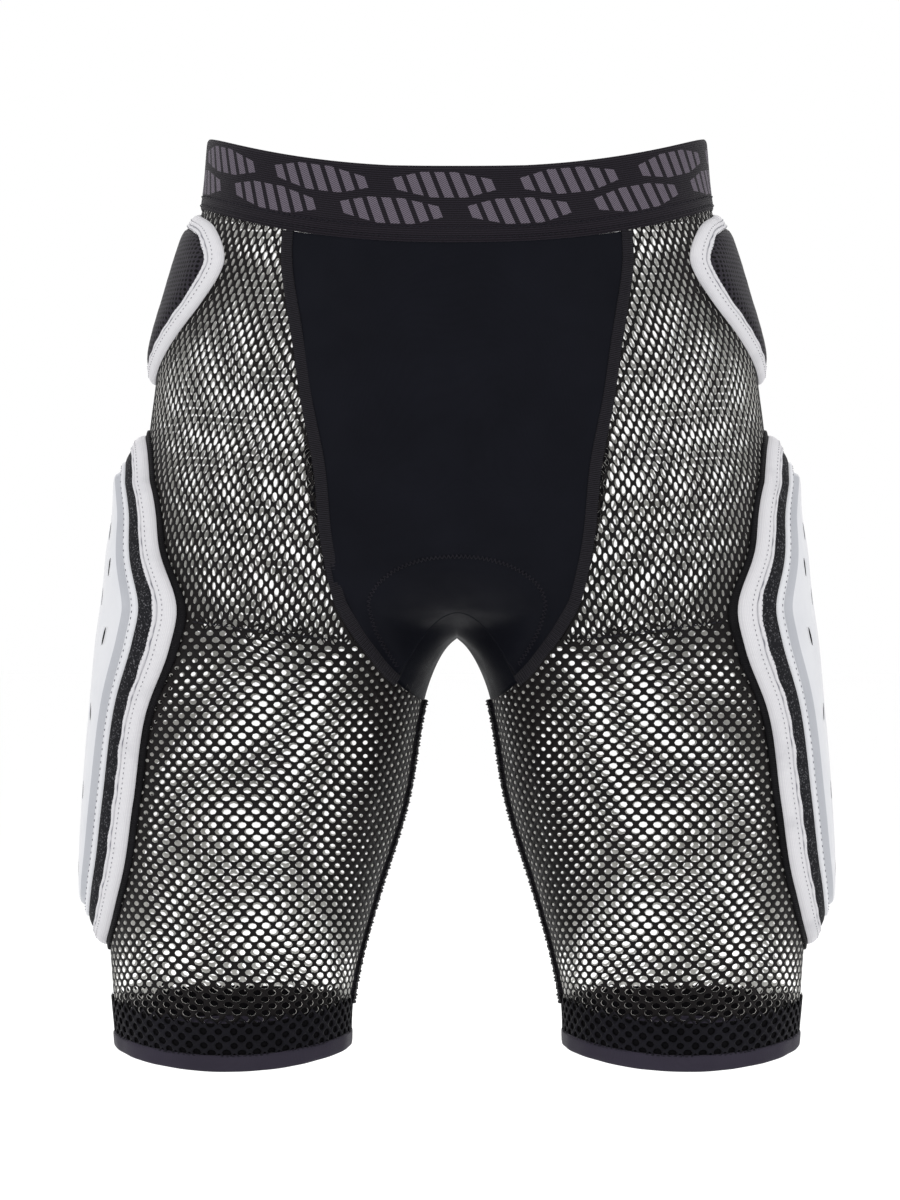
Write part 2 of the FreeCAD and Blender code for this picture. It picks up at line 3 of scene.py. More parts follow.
import bmesh
import bpy
import numpy as np
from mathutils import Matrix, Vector


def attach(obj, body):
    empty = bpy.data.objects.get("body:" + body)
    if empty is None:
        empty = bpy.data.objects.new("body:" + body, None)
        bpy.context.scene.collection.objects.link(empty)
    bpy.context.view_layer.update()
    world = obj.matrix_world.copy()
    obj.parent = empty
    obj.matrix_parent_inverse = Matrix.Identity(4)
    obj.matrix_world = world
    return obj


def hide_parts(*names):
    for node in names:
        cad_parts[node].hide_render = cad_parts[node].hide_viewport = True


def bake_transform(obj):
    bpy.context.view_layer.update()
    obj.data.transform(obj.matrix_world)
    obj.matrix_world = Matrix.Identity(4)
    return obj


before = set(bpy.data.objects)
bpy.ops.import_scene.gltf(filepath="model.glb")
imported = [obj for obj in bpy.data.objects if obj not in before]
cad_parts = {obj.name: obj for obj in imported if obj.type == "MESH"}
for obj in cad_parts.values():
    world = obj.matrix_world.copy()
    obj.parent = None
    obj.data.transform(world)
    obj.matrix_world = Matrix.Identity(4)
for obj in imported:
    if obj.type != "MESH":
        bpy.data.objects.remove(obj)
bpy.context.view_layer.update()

# Lengths in this file are millimetres; add_mesh turns them into metres.
MM = 0.001

# ---- body form: the CAD part's heights, with widths fitted closer to the photo --------
# Torso rows: height, half width, half depth, centre in y. Leg rows have the centre in x second.
TORSO = [(20, 149, 105, 0), (0, 151, 107, 0), (-44, 156, 110, 0.5), (-90, 169, 115, 2),
         (-140, 183, 120, 3.5), (-190, 187, 123, 5), (-230, 182, 120, 5), (-262, 168, 105, 5),
         (-285, 128, 78, 5), (-300, 70, 40, 4), (-330, 40, 20, 2)]
LEG = [(-150, 92, 84, 94, 6), (-215, 95, 86, 105, 6), (-260, 99, 96, 107, 6),
       (-300, 106, 97, 104, 6), (-340, 114, 93, 98, 5), (-400, 122, 90, 89, 4),
       (-460, 132, 82.5, 80, 3), (-520, 138, 73, 73, 2), (-560, 137.5, 70, 69, 1),
       (-590, 137.5, 69, 68, 1)]
FRONT_SEAM = [(-40, 98), (-80, 100), (-125, 94.5), (-200, 82), (-280, 71), (-300, 60),
              (-320, 46), (-331, 37)]
SEAT_SEAM = [(-40, 86), (-120, 92), (-200, 94), (-255, 84), (-280, 72), (-300, 57),
             (-320, 42), (-331, 34)]
SEAM_END = -331.0
PANEL_END = -288.0
TUNNEL = -352.0
BAND_HEIGHT = 43.0
FRONT, BACK = -1.0, 1.0


def cubic(a, b, slope_a, slope_b, t):
    """Hermite blend from a to b with the given slopes at the ends."""
    return ((2 * t ** 3 - 3 * t ** 2 + 1) * a + (t ** 3 - 2 * t ** 2 + t) * slope_a
            + (3 * t ** 2 - 2 * t ** 3) * b + (t ** 3 - t ** 2) * slope_b)


def reaches(path):
    """Distance along a path at each of its points."""
    return np.r_[0, np.cumsum(np.linalg.norm(np.diff(path, axis=0), axis=1))]


def resampled(values, reach, goal):
    """Columns of values read at the goal distances along a path."""
    return np.stack([np.interp(goal, reach, column) for column in values.T], 1)


def station(table, z):
    """Values of a form table at height z, smooth from row to row."""
    rows = sorted(table, reverse=True)
    if z >= rows[0][0]:
        return rows[0][1:]
    if z <= rows[-1][0]:
        return rows[-1][1:]
    i = 0
    while rows[i + 1][0] > z:
        i += 1
    upper, lower = rows[i], rows[i + 1]
    before, after = rows[max(i - 1, 0)], rows[min(i + 2, len(rows) - 1)]
    span = upper[0] - lower[0]
    t = (upper[0] - z) / span
    values = []
    for k in range(1, len(upper)):
        slope_a = (lower[k] - before[k]) / max(before[0] - lower[0], 1.0) * span
        slope_b = (after[k] - upper[k]) / max(upper[0] - after[0], 1.0) * span
        values.append(cubic(upper[k], lower[k], slope_a, slope_b, t))
    return values


Z_FINE = np.arange(-640.0, 41.0, 1.0)


def fine(table):
    return np.array([station(table, z) for z in Z_FINE]).T


TORSO_F, LEG_F, FRONT_F, SEAT_F = fine(TORSO), fine(LEG), fine(FRONT_SEAM)[0], fine(SEAT_SEAM)[0]


def at(values, z):
    return np.interp(z, Z_FINE, values)


def soft(a, b, radius):
    return np.maximum(a, b) + radius * np.log1p(np.exp(-np.abs(a - b) / radius))


def form(p):
    """Below zero inside the body form; p is an array of points."""
    x, y, z = np.abs(p[..., 0]), p[..., 1], p[..., 2]
    a, b, yc = (at(v, z) for v in TORSO_F)
    torso = (((x / a) ** 2.3 + (np.abs(y - yc) / b) ** 2.3) ** (1 / 2.3) - 1) * np.minimum(a, b)
    low = soft(torso, -298.0 - z, 6.0)
    cx, lx, ly, lyc = (at(v, z) for v in LEG_F)
    leg = (np.hypot((x - cx) / lx, (y - lyc) / ly) - 1) * np.minimum(lx, ly)
    fade = np.clip((-150.0 - z) / 60.0, 0, 1)
    return np.where(z > -150, torso, -soft(-low, -leg, 12 * fade + 0.01))


def gradient(p):
    g = np.empty(p.shape)
    for k in range(3):
        d = np.zeros(3)
        d[k] = 0.5
        g[..., k] = form(p + d) - form(p - d)
    return g


def normals(p):
    g = gradient(p)
    return g / np.linalg.norm(g, axis=-1, keepdims=True)


def settle(p):
    for _ in range(3):
        g = gradient(p)
        p = p - g * (form(p) / (g ** 2).sum(-1))[..., None]
    return p


def cast(origin, direction, outward=True, reach=330.0):
    """Where rays cross the form, from inside out or from outside in."""
    origin, direction = np.broadcast_arrays(np.asarray(origin, float), np.asarray(direction, float))
    shape = origin.shape
    o, d = origin.reshape(-1, 3), direction.reshape(-1, 3)
    sign = 1.0 if outward else -1.0
    near, far = np.zeros(len(o)), np.full(len(o), 4.0)
    todo = np.arange(len(o))
    while len(todo):
        crossed = sign * form(o[todo] + d[todo] * far[todo, None]) > 0
        todo = todo[~crossed & (far[todo] < reach)]
        near[todo] = far[todo]
        far[todo] += 4.0
    for _ in range(16):
        middle = (near + far) / 2
        out = sign * form(o + d * middle[:, None]) > 0
        far, near = np.where(out, middle, far), np.where(out, near, middle)
    return (o + d * ((near + far) / 2)[:, None]).reshape(shape)


def points(x, y, z):
    spots = [np.asarray(v, float) for v in (x, y, z)]
    return np.stack(np.broadcast_arrays(*spots), -1)


def centre_y(z):
    return at(TORSO_F[2], np.maximum(z, -262.0))


def facing(x, z, way):
    return cast(points(x, centre_y(z), z), points(0, way, 0))


def polar(z, angle):
    """Left side; 0 is outward, 90 is front, 180 is the inseam."""
    a = np.radians(angle)
    return cast(points(at(LEG_F[0], z), centre_y(z), z), points(np.cos(a), -np.sin(a), 0 * a))


def side_place(y, z):
    return cast(points(115.0, y, z), points(1, 0, 0))


def back_place(x, z):
    return facing(x, z, BACK)


def rim(y):
    return -np.where(y < 0, 27.0, 2.0) * (y / 107.0) ** 2


def band_edge(x, way):
    z = np.full(np.shape(x), -BAND_HEIGHT)
    for _ in range(4):
        z = rim(facing(x, z, way)[..., 1]) - BAND_HEIGHT
    return z


# ---- pad outlines ---------------------------------------------------------------
def closed(half, top, tip, middle):
    pts = [(middle, top)] + [(middle - d, z) for d, z in half] + [(middle, tip)]
    return pts + [(middle + d, z) for d, z in reversed(half)]


def looped(loop):
    """The points of a loop with the first one again at the end."""
    return np.vstack([loop, loop[:1]])


def smooth_loop(pts, count):
    """Even points round a smooth closed curve through pts."""
    p = np.array(pts, float)
    before, after = np.roll(p, 1, 0), np.roll(p, -1, 0)
    ka = np.linalg.norm(p - before, axis=1)[:, None]
    kb = np.linalg.norm(after - p, axis=1)[:, None]
    tangent = ((p - before) / ka * kb + (after - p) / kb * ka) / (ka + kb)
    spots = []
    m0, m1 = tangent * kb, np.roll(tangent, -1, 0) * kb
    for t in np.linspace(0, 1, 40, endpoint=False):
        spots.append(cubic(p, after, m0, m1, t))
    dense = np.stack(spots, 1).reshape(-1, 2)
    loop = looped(dense)
    reach = reaches(loop)
    goal = np.linspace(0, reach[-1], count, endpoint=False)
    return resampled(loop, reach, goal)


def inside_distance(loop, p):
    """Distance of flat points to a closed loop, positive inside."""
    a, b = loop, np.roll(loop, -1, 0)
    flat = p.reshape(-1, 2)
    best = np.full(len(flat), 1e9)
    inside = np.zeros(len(flat), bool)
    for s, e in zip(a, b):
        d = e - s
        t = np.clip(((flat - s) @ d) / (d @ d), 0, 1)
        best = np.minimum(best, np.hypot(*(flat - s - t[:, None] * d).T))
        cross = (s[1] > flat[:, 1]) != (e[1] > flat[:, 1])
        with np.errstate(divide="ignore", invalid="ignore"):
            where = (e[0] - s[0]) * (flat[:, 1] - s[1]) / (e[1] - s[1]) + s[0]
        inside ^= cross & (flat[:, 0] < where)
    return np.where(inside, best, -best).reshape(p.shape[:-1])


GUARD = closed([(27, -189), (50, -215), (63, -250), (77, -288), (74, -312), (60, -352), (52, -405),
                (41, -455), (22, -483)], -183, -492, 3.0)
HIP_PAD = closed([(26, -50), (57, -60), (71, -80), (64, -102), (46, -123), (24, -139)], -47, -148, 3.0)
TAIL_PAD = closed([(24, -116), (40, -140), (38, -175), (26, -215), (12, -238)], -110, -244, 0.0)
GUARD_LOOP = smooth_loop(GUARD, 120)
HIP_LOOP = smooth_loop(HIP_PAD, 90)

# ---- soft folds shared by every fabric layer ---------------------------------------
# Start, end, width and height of each fold on the left side.
FOLDS = [((60, -95, -285), (150, -85, -262), 11, 2.2), ((66, -92, -300), (165, -70, -305), 12, -1.8),
         ((70, -95, -268), (140, -95, -225), 10, -1.6), ((52, -80, -318), (130, -95, -338), 10, 1.8),
         ((90, -95, -420), (160, -80, -400), 14, 1.6), ((85, -75, -500), (170, -65, -480), 13, -1.5),
         ((100, -110, -120), (160, -70, -150), 12, 1.5), ((110, 105, -290), (60, 95, -305), 12, 2.0),
         ((160, 85, -330), (80, 95, -345), 13, -1.8), ((90, 90, -430), (160, 75, -410), 14, 1.6),
         ((60, -50, -360), (50, -60, -430), 11, 1.6), ((75, 60, -372), (60, 50, -450), 11, 1.4),
         ((30, -112, -150), (45, -104, -250), 16, 1.2), ((-10, -114, -120), (5, -108, -210), 20, -0.9),
         ((20, 125, -260), (70, 105, -300), 12, 1.5)]


def ripple(p):
    """Height of the folds at points of the left side."""
    total = np.zeros(p.shape[:-1])
    for start, end, width, height in FOLDS:
        s, d = np.array(start, float), np.array(end, float) - np.array(start, float)
        t = np.clip(((p - s) @ d) / (d @ d), 0, 1)
        away = np.linalg.norm(p - s - t[..., None] * d, axis=-1)
        total += height * np.exp(-(away / width) ** 2)
    x, y, z = p[..., 0], p[..., 1], p[..., 2]
    total += 0.5 * np.sin(z / 17.0 + x / 31.0) * np.sin(x / 23.0 - y / 19.0)
    side = np.clip((np.abs(p[..., 0]) - 95) / 40, 0, 1)
    flat = np.stack([p[..., 1], p[..., 2]], -1)
    near = np.maximum(inside_distance(GUARD_LOOP[::2], flat), inside_distance(HIP_LOOP[::2], flat))
    calm = side * np.clip((near + 16) / 12, 0, 1)
    ends = np.clip((-46.0 - p[..., 2]) / 25, 0, 1) * np.clip((p[..., 2] + 530) / 20, 0, 1)
    return total * (1 - calm) * ends


def draped(p):
    """Points and normals of the fabric's underside over settled form points."""
    n = normals(p)
    return p + n * ripple(p)[..., None], n


# ---- mesh building ---------------------------------------------------------------
def add_mesh(name, verts, faces, materials, picks=None, smooth=True):
    """Mesh object from vertices in millimetres and four-cornered faces."""
    mesh = bpy.data.meshes.new(name)
    faces = np.asarray(faces, np.int32)
    mesh.vertices.add(len(verts))
    mesh.vertices.foreach_set("co", (np.asarray(verts) * MM).astype(np.float32).ravel())
    mesh.loops.add(faces.size)
    mesh.loops.foreach_set("vertex_index", faces.ravel())
    mesh.polygons.add(len(faces))
    mesh.polygons.foreach_set("loop_start", np.arange(len(faces), dtype=np.int32) * faces.shape[1])
    for m in materials:
        mesh.materials.append(m)
    if picks is not None:
        mesh.polygons.foreach_set("material_index", np.asarray(picks, np.int32))
    mesh.polygons.foreach_set("use_smooth", np.full(len(faces), smooth))
    mesh.update(calc_edges=True)
    mesh.validate()
    obj = bpy.data.objects.new(name, mesh)
    bpy.context.scene.collection.objects.link(obj)
    return obj


def grid_faces(rows, cols, wrap=False, start=0, flip=False):
    index = start + np.arange(rows * cols).reshape(rows, cols)
    if wrap:
        index = np.hstack([index, index[:, :1]])
    quad = np.stack([index[:-1, :-1], index[:-1, 1:], index[1:, 1:], index[1:, :-1]], -1).reshape(-1, 4)
    return quad[:, ::-1] if flip else quad


def slab(name, p, n, low, high, materials, wrap=False, under=0, marks=None, paint=0):
    """Closed sheet between two heights over a grid; paint is the material of each row's top."""
    rows, cols = p.shape[:2]
    low = np.broadcast_to(np.asarray(low, float), (rows, cols))[..., None]
    high = np.broadcast_to(np.asarray(high, float), (rows, cols))[..., None]
    verts = np.vstack([(p + n * high).reshape(-1, 3), (p + n * low).reshape(-1, 3)])
    count = rows * cols
    top = grid_faces(rows, cols, wrap)
    bottom = grid_faces(rows, cols, wrap, count, True)
    index = np.arange(count).reshape(rows, cols)
    loops = []
    if wrap:
        for edge, flip in ((index[0], True), (index[-1], False)):
            loops.append((np.r_[edge, edge[0]], flip))
    else:
        loops = [(index[0], True), (index[-1], False), (index[:, 0], False), (index[:, -1], True)]
    walls = []
    for edge, flip in loops:
        quad = np.stack([edge[:-1], edge[1:], edge[1:] + count, edge[:-1] + count], -1)
        walls.append(quad if flip else quad[:, ::-1])
    walls = np.vstack(walls)
    faces = np.vstack([top, bottom, walls])
    tops = np.repeat(np.broadcast_to(paint, rows - 1), len(top) // (rows - 1))
    picks = np.r_[tops, np.full(len(bottom), under), np.zeros(len(walls))]
    obj = add_mesh(name, verts, faces, materials, picks)
    if np.linalg.det(np.stack([p[1, 0] - p[0, 0], p[0, 1] - p[0, 0], n[0, 0]])) > 0:
        obj.data.flip_normals()
    if marks is not None:
        write_marks(obj, np.vstack([marks.reshape(-1, 2), marks.reshape(-1, 2)]))
    return obj


def write_marks(obj, marks):
    """Cloth coordinates in millimetres, for the procedural patterns."""
    layer = obj.data.attributes.new("cloth", "FLOAT_VECTOR", "POINT")
    full = np.zeros((len(marks), 3), np.float32)
    full[:, :2] = marks
    layer.data.foreach_set("vector", full.ravel())


def evened(column, count):
    """Points at equal distances along each row of close points, on the form."""
    out = []
    for line in column:
        reach = reaches(line)
        goal = np.linspace(0, reach[-1], count)
        out.append(resampled(line, reach, goal))
    return settle(np.array(out))


def mirror(p):
    q = np.array(p, float)
    q[..., 0] *= -1
    return q


def sided(side, p, n):
    return (p, n) if side == "left" else (mirror(p), mirror(n))


def recalc(obj, merge=0.0):
    bm = bmesh.new()
    bm.from_mesh(obj.data)
    if merge:
        bmesh.ops.remove_doubles(bm, verts=bm.verts, dist=merge * MM)
    bmesh.ops.recalc_face_normals(bm, faces=bm.faces)
    bm.to_mesh(obj.data)
    bm.free()
    return obj


def tube_stitches(name, starts, ends, ups, radius, material):
    """Short rounded threads, each from a start to an end point."""
    starts, ends, ups = (np.asarray(v, float) for v in (starts, ends, ups))
    along = ends - starts
    along /= np.linalg.norm(along, axis=1, keepdims=True)
    across = np.cross(along, ups)
    across /= np.linalg.norm(across, axis=1, keepdims=True)
    ups = np.cross(across, along)
    rings = []
    for share, size, sink in ((0.0, 0.35, -0.5), (0.18, 0.9, 0.0), (0.5, 1.0, 0.25), (0.82, 0.9, 0.0),
                              (1.0, 0.35, -0.5)):
        middle = starts + (ends - starts) * share + ups * sink * radius
        for k in range(6):
            a = k * math.pi / 3
            rings.append(middle + (across * math.cos(a) + ups * math.sin(a)) * radius * size)
    verts = np.stack(rings, 1)
    count = len(starts)
    faces = []
    for ring in range(4):
        for k in range(6):
            a, b = ring * 6 + k, ring * 6 + (k + 1) % 6
            faces.append((a, b, b + 6, a + 6))
    faces += [(0, 1, 2, 3), (0, 3, 4, 5), (24, 27, 26, 25), (24, 29, 28, 27)]
    faces = (np.array(faces)[None] + (np.arange(count) * 30)[:, None, None]).reshape(-1, 4)
    return recalc(add_mesh(name, verts.reshape(-1, 3), faces, [material]))


def stitch_line(path, n, length, gap, lift):
    """Starts, ends and up directions of running stitches along a path of points."""
    reach = reaches(path)
    at_start = np.arange(gap, reach[-1] - length, length + gap)

    def spot(where, values):
        return resampled(values, reach, where)

    up = spot(at_start, n)
    return spot(at_start, path) + up * lift, spot(at_start + length, path) + up * lift, up


def stitches(name, lines, radius, material):
    """One mesh of threads from several stitch lines."""
    return tube_stitches(name, *(np.vstack(part) for part in zip(*lines)), radius, material)


# ---- materials --------------------------------------------------------------------
def linear(*rgb):
    out = [c / 255 / 12.92 if c <= 10.3 else ((c / 255 + 0.055) / 1.055) ** 2.4 for c in rgb]
    return (*out, 1.0)


class Shader:
    """A Principled material with short ways to add the nodes that its patterns need."""

    def __init__(self, name, colour, rough, specular=0.5, sheen=0.0, coat=0.0):
        self.mat = bpy.data.materials.new(name)
        self.mat.use_nodes = True
        self.tree = self.mat.node_tree
        self.nodes, self.links = self.tree.nodes, self.tree.links
        self.bsdf = self.nodes["Principled BSDF"]
        self.bsdf.inputs["Base Color"].default_value = colour
        self.bsdf.inputs["Roughness"].default_value = rough
        self.bsdf.inputs["Specular IOR Level"].default_value = specular
        self.bsdf.inputs["Sheen Weight"].default_value = sheen
        self.bsdf.inputs["Sheen Roughness"].default_value = 0.4
        self.bsdf.inputs["Coat Weight"].default_value = coat
        self.bsdf.inputs["Coat Roughness"].default_value = 0.25
        self.place = self.nodes.new("ShaderNodeTexCoord").outputs["Object"]
        self.bumps = None

    def put(self, socket, value):
        if isinstance(value, (int, float, tuple)):
            socket.default_value = value
        else:
            self.links.new(value, socket)

    def math(self, kind, a, b=0.0, c=0.0):
        node = self.nodes.new("ShaderNodeMath")
        node.operation = kind
        for socket, value in zip(node.inputs, (a, b, c)):
            self.put(socket, value)
        return node.outputs[0]

    def cloth(self):
        node = self.nodes.new("ShaderNodeAttribute")
        node.attribute_name = "cloth"
        split = self.nodes.new("ShaderNodeSeparateXYZ")
        self.links.new(node.outputs["Vector"], split.inputs[0])
        return split.outputs[0], split.outputs[1]

    def noise(self, scale, detail=3.0, place=None):
        node = self.nodes.new("ShaderNodeTexNoise")
        node.inputs["Scale"].default_value = scale
        node.inputs["Detail"].default_value = detail
        self.links.new(place or self.place, node.inputs["Vector"])
        return node.outputs["Fac"]

    def cells(self, scale):
        node = self.nodes.new("ShaderNodeTexVoronoi")
        node.inputs["Scale"].default_value = scale
        self.links.new(self.place, node.inputs["Vector"])
        return node.outputs["Distance"]

    def ramp(self, value, low, high, out_low=0.0, out_high=1.0):
        node = self.nodes.new("ShaderNodeMapRange")
        for k, v in enumerate((low, high, out_low, out_high)):
            node.inputs[k + 1].default_value = v
        self.links.new(value, node.inputs[0])
        return node.outputs[0]

    def mix(self, share, a, b):
        node = self.nodes.new("ShaderNodeMix")
        node.data_type = "RGBA"
        self.put(node.inputs[0], share)
        self.put(node.inputs[6], a)
        self.put(node.inputs[7], b)
        return node.outputs[2]

    def paint(self, colour):
        self.put(self.bsdf.inputs["Base Color"], colour)
        return self

    def roughen(self, value):
        self.put(self.bsdf.inputs["Roughness"], value)
        return self

    def bump(self, height, distance, strength=1.0):
        node = self.nodes.new("ShaderNodeBump")
        node.inputs["Distance"].default_value = distance
        node.inputs["Strength"].default_value = strength
        self.links.new(height, node.inputs["Height"])
        if self.bumps is not None:
            self.links.new(self.bumps, node.inputs["Normal"])
        self.bumps = node.outputs[0]
        self.links.new(self.bumps, self.bsdf.inputs["Normal"])
        return self

    def wave(self, coordinate, pitch):
        """0 to 1 and back once per pitch of the coordinate."""
        turn = self.math("MULTIPLY", coordinate, 2 * math.pi / pitch)
        return self.math("MULTIPLY_ADD", self.math("SINE", turn), 0.5, 0.5)

    def box(self):
        split = self.nodes.new("ShaderNodeSeparateXYZ")
        self.links.new(self.place, split.inputs[0])
        return split.outputs


def knit(name, rgb, rough, sheen, pitch, depth, vary=0.25, specular=0.077):
    """Fine knitted or woven cloth."""
    s = Shader(name, linear(*rgb), rough, specular, sheen)
    x, y, z = s.box()
    lean, back = s.math("ADD", x, y), s.math("SUBTRACT", x, y)
    across = s.math("MAXIMUM", s.wave(lean, pitch), s.wave(back, pitch))
    loops = s.math("MULTIPLY", across, s.wave(z, pitch * 0.8))
    cloudy = s.ramp(s.noise(24.0), 0.3, 0.7, 1 - vary, 1 + vary)
    dark = tuple(c * 0.72 for c in linear(*rgb)[:3]) + (1.0,)
    tint = s.mix(loops, dark, linear(*rgb))
    scaled = s.nodes.new("ShaderNodeVectorMath")
    scaled.operation = "SCALE"
    s.links.new(tint, scaled.inputs[0])
    s.links.new(cloudy, scaled.inputs["Scale"])
    s.paint(scaled.outputs[0])
    s.roughen(s.ramp(s.noise(60.0), 0.3, 0.7, rough - 0.08, rough + 0.08))
    s.bump(loops, depth, 0.6)
    s.bump(s.noise(350.0, 4.0), depth * 0.6, 0.5)
    return s.mat


M = {}
M["stretch"] = knit("stretch_fabric", (18, 19, 26), 0.5, 0.005, 0.0007, 0.0001, 0.12, 0.044)
M["stretch_in"] = knit("stretch_fabric_inside", (34, 34, 40), 0.8, 0.03, 0.0007, 0.00015)
M["mesh"] = knit("hole_mesh", (20, 17, 18), 0.5, 0.02, 0.0006, 0.00015, 0.3, 0.11)
M["mesh_in"] = knit("hole_mesh_inside", (236, 235, 231), 0.9, 0.01, 0.0006, 0.0001, 0.03, 0.044)
M["side"] = knit("side_knit", (19, 18, 21), 0.7, 0.03, 0.0016, 0.0005, 0.4)
M["cuff"] = knit("cuff_mesh", (23, 22, 28), 0.6, 0.025, 0.0007, 0.0002, 0.25)
# the cuff's backing: a real second layer, painted near-black also as the shade inside the hem
M["cuff_in"] = knit("cuff_backing_and_shade", (9, 8, 11), 0.85, 0.02, 0.0009, 0.0003, 0.2)
M["hem"] = knit("hem_tape", (52, 48, 60), 0.55, 0.035, 0.0006, 0.00012, 0.12)
M["thread_dark"] = knit("thread_dark", (34, 33, 40), 0.55, 0.03, 0.0004, 0.00008, 0.15)
M["thread_grey"] = knit("thread_grey", (120, 120, 128), 0.6, 0.02, 0.0004, 0.00008, 0.08)
M["chamois"] = knit("chamois_fabric", (30, 30, 37), 0.85, 0.045, 0.0008, 0.0002, 0.15)
M["label"] = knit("label_satin", (232, 230, 226), 0.35, 0.01, 0.0005, 0.00005, 0.03, 0.132)
# near-black painted shade for the walls of the vents cut through the white shell
M["slot"] = knit("vent_wall_painted_shade", (15, 15, 18), 0.7, 0, 0.0008, 0.0001)


def thread_tape():
    """Overlock seam: threads across the tape."""
    s = Shader("seam_tape", linear(20, 19, 23), 0.62, 0.1, 0.03)
    u, _ = s.cloth()
    threads = s.wave(u, 1.1)
    s.paint(s.mix(threads, linear(9, 8, 11), linear(39, 37, 43)))
    s.bump(threads, 0.0004, 0.8)
    s.bump(s.noise(900.0), 0.0002, 0.6)
    return s.mat


def elastic():
    """Ribbed elastic with a woven pattern of slanted bars in two rows."""
    s = Shader("waist_elastic", linear(26, 23, 30), 0.62, 0.1, 0.03)
    u, v = s.cloth()
    ribs = s.wave(v, 1.25)
    lean = s.math("MULTIPLY_ADD", v, 0.42, u)
    total = None
    for top, shift in ((3.4, 0.0), (18.8, 37.0)):
        bottom = top + 14.6
        inside = s.math("MULTIPLY", s.math("GREATER_THAN", v, top), s.math("LESS_THAN", v, bottom))
        cycle = s.math("MODULO", s.math("ADD", lean, shift + 1000.0), 74.0)
        bars = s.math("LESS_THAN", s.math("MODULO", cycle, 8.6), 5.6)
        group = s.math("LESS_THAN", cycle, 60.0)
        slope = s.math("MULTIPLY_ADD", s.math("ABSOLUTE", s.math("SUBTRACT", cycle, 29.0)), -0.22, 6.9)
        middle = s.math("ABSOLUTE", s.math("SUBTRACT", v, top + 7.3))
        taper = s.math("LESS_THAN", middle, s.math("ADD", slope, 2.6))
        shape = s.math("MULTIPLY", s.math("MULTIPLY", s.math("MULTIPLY", bars, taper), group), inside)
        total = shape if total is None else s.math("MAXIMUM", total, shape)
    hatch = s.wave(s.math("MULTIPLY_ADD", v, -1.6, u), 1.9)
    woven = s.math("MULTIPLY", total, s.ramp(hatch, 0.15, 0.6, 0.25, 1.0))
    base = s.mix(ribs, linear(15, 12, 17), linear(35, 31, 39))
    s.paint(s.mix(woven, base, linear(112, 104, 116)))
    s.bump(ribs, 0.00045, 0.9)
    s.bump(s.wave(u, 0.9), 0.0002, 0.4)
    s.bump(total, 0.0002, 0.5)
    return s.mat


def binding_cloth():
    """White folded tape: woven, with a wavy crease nearer its inner edge that is painted grey as shade."""
    s = Shader("white_binding", linear(218, 217, 219), 0.62, 0.2, 0.05)
    u, v = s.cloth()
    weave = s.math("MULTIPLY", s.wave(u, 0.8), s.wave(v, 0.7))
    sway = s.math("MULTIPLY", s.wave(u, 9.0), s.wave(u, 31.0))
    crease = s.math("ABSOLUTE", s.math("SUBTRACT", v, s.math("MULTIPLY_ADD", sway, 0.5, 5.5)))
    # painted shade: grey along the crease
    line = s.ramp(crease, 0.1, 0.55, 0.95, 0.0)
    grime = s.ramp(s.noise(45.0, 5.0), 0.55, 0.8, 0.0, 0.25)
    cloth = s.mix(weave, linear(205, 204, 208), linear(226, 225, 227))
    # one grey for the painted crease shade and for the random grime patches
    s.paint(s.mix(s.math("MAXIMUM", line, grime), cloth, linear(122, 123, 132)))
    s.bump(weave, 0.00015, 0.5)
    s.bump(s.ramp(crease, 0.0, 0.9, 0.0, 1.0), 0.0005, 0.8)
    s.bump(s.noise(180.0), 0.0004, 0.35)
    return s.mat


def speckled():
    """Black felt with pale specks."""
    s = Shader("speckled_felt", linear(17, 17, 20), 0.9, 0.05, 0.04)
    specks = s.ramp(s.noise(880.0, 2.0), 0.58, 0.68, 0.0, 0.8)
    big = s.ramp(s.cells(420.0), 0.2, 0.08, 0.0, 0.7)
    s.paint(s.mix(s.math("MAXIMUM", specks, big), linear(31, 31, 34), linear(104, 104, 108)))
    s.bump(s.noise(700.0, 5.0), 0.0006, 0.8)
    return s.mat


def moulded(name, pale, dull):
    """Moulded plastic, slightly orange-peeled, with faint marks."""
    s = Shader(name, linear(*pale), 0.36, 0.3, 0.0, 0.08)
    marks = s.ramp(s.noise(28.0, 6.0), 0.45, 0.75, 0.0, 0.4)
    s.paint(s.mix(marks, linear(*pale), linear(*dull)))
    s.roughen(s.ramp(s.noise(90.0, 5.0), 0.3, 0.7, 0.28, 0.45))
    s.bump(s.noise(420.0, 2.0), 0.00012, 0.25)
    return s.mat


def spacer():
    """Dark spacer mesh with small staggered holes."""
    s = Shader("spacer_mesh", linear(38, 37, 43), 0.6, 0.1, 0.04)
    u, v = s.cloth()
    turn = 2 * math.pi / 5.4
    a, b = (s.math("SINE", s.math("MULTIPLY", s.math(kind, u, v), turn)) for kind in ("ADD", "SUBTRACT"))
    holes = s.ramp(s.math("MULTIPLY", a, b), 0.05, 0.35)
    s.paint(s.mix(holes, linear(45, 42, 49), linear(4, 3, 6)))
    s.bump(s.math("SUBTRACT", 1.0, holes), 0.0008, 0.9)
    s.bump(s.noise(600.0), 0.0003, 0.5)
    return s.mat


M["tape"] = thread_tape()
M["band"] = elastic()
M["binding"] = binding_cloth()
M["felt"] = speckled()
M["shell"] = moulded("white_shell", (212, 213, 217), (198, 199, 205))
# the groove between the shell's flange and raised face: the same plastic, painted greyer as shade
M["bevel"] = moulded("shell_bevel", (176, 178, 184), (164, 166, 173))
M["spacer"] = spacer()

BENDS = {"left": ("left_leg", 1.0), "right": ("right_leg", -1.0)}


def bend(obj):
    """Bakes the object's placement into its mesh."""
    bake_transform(obj)


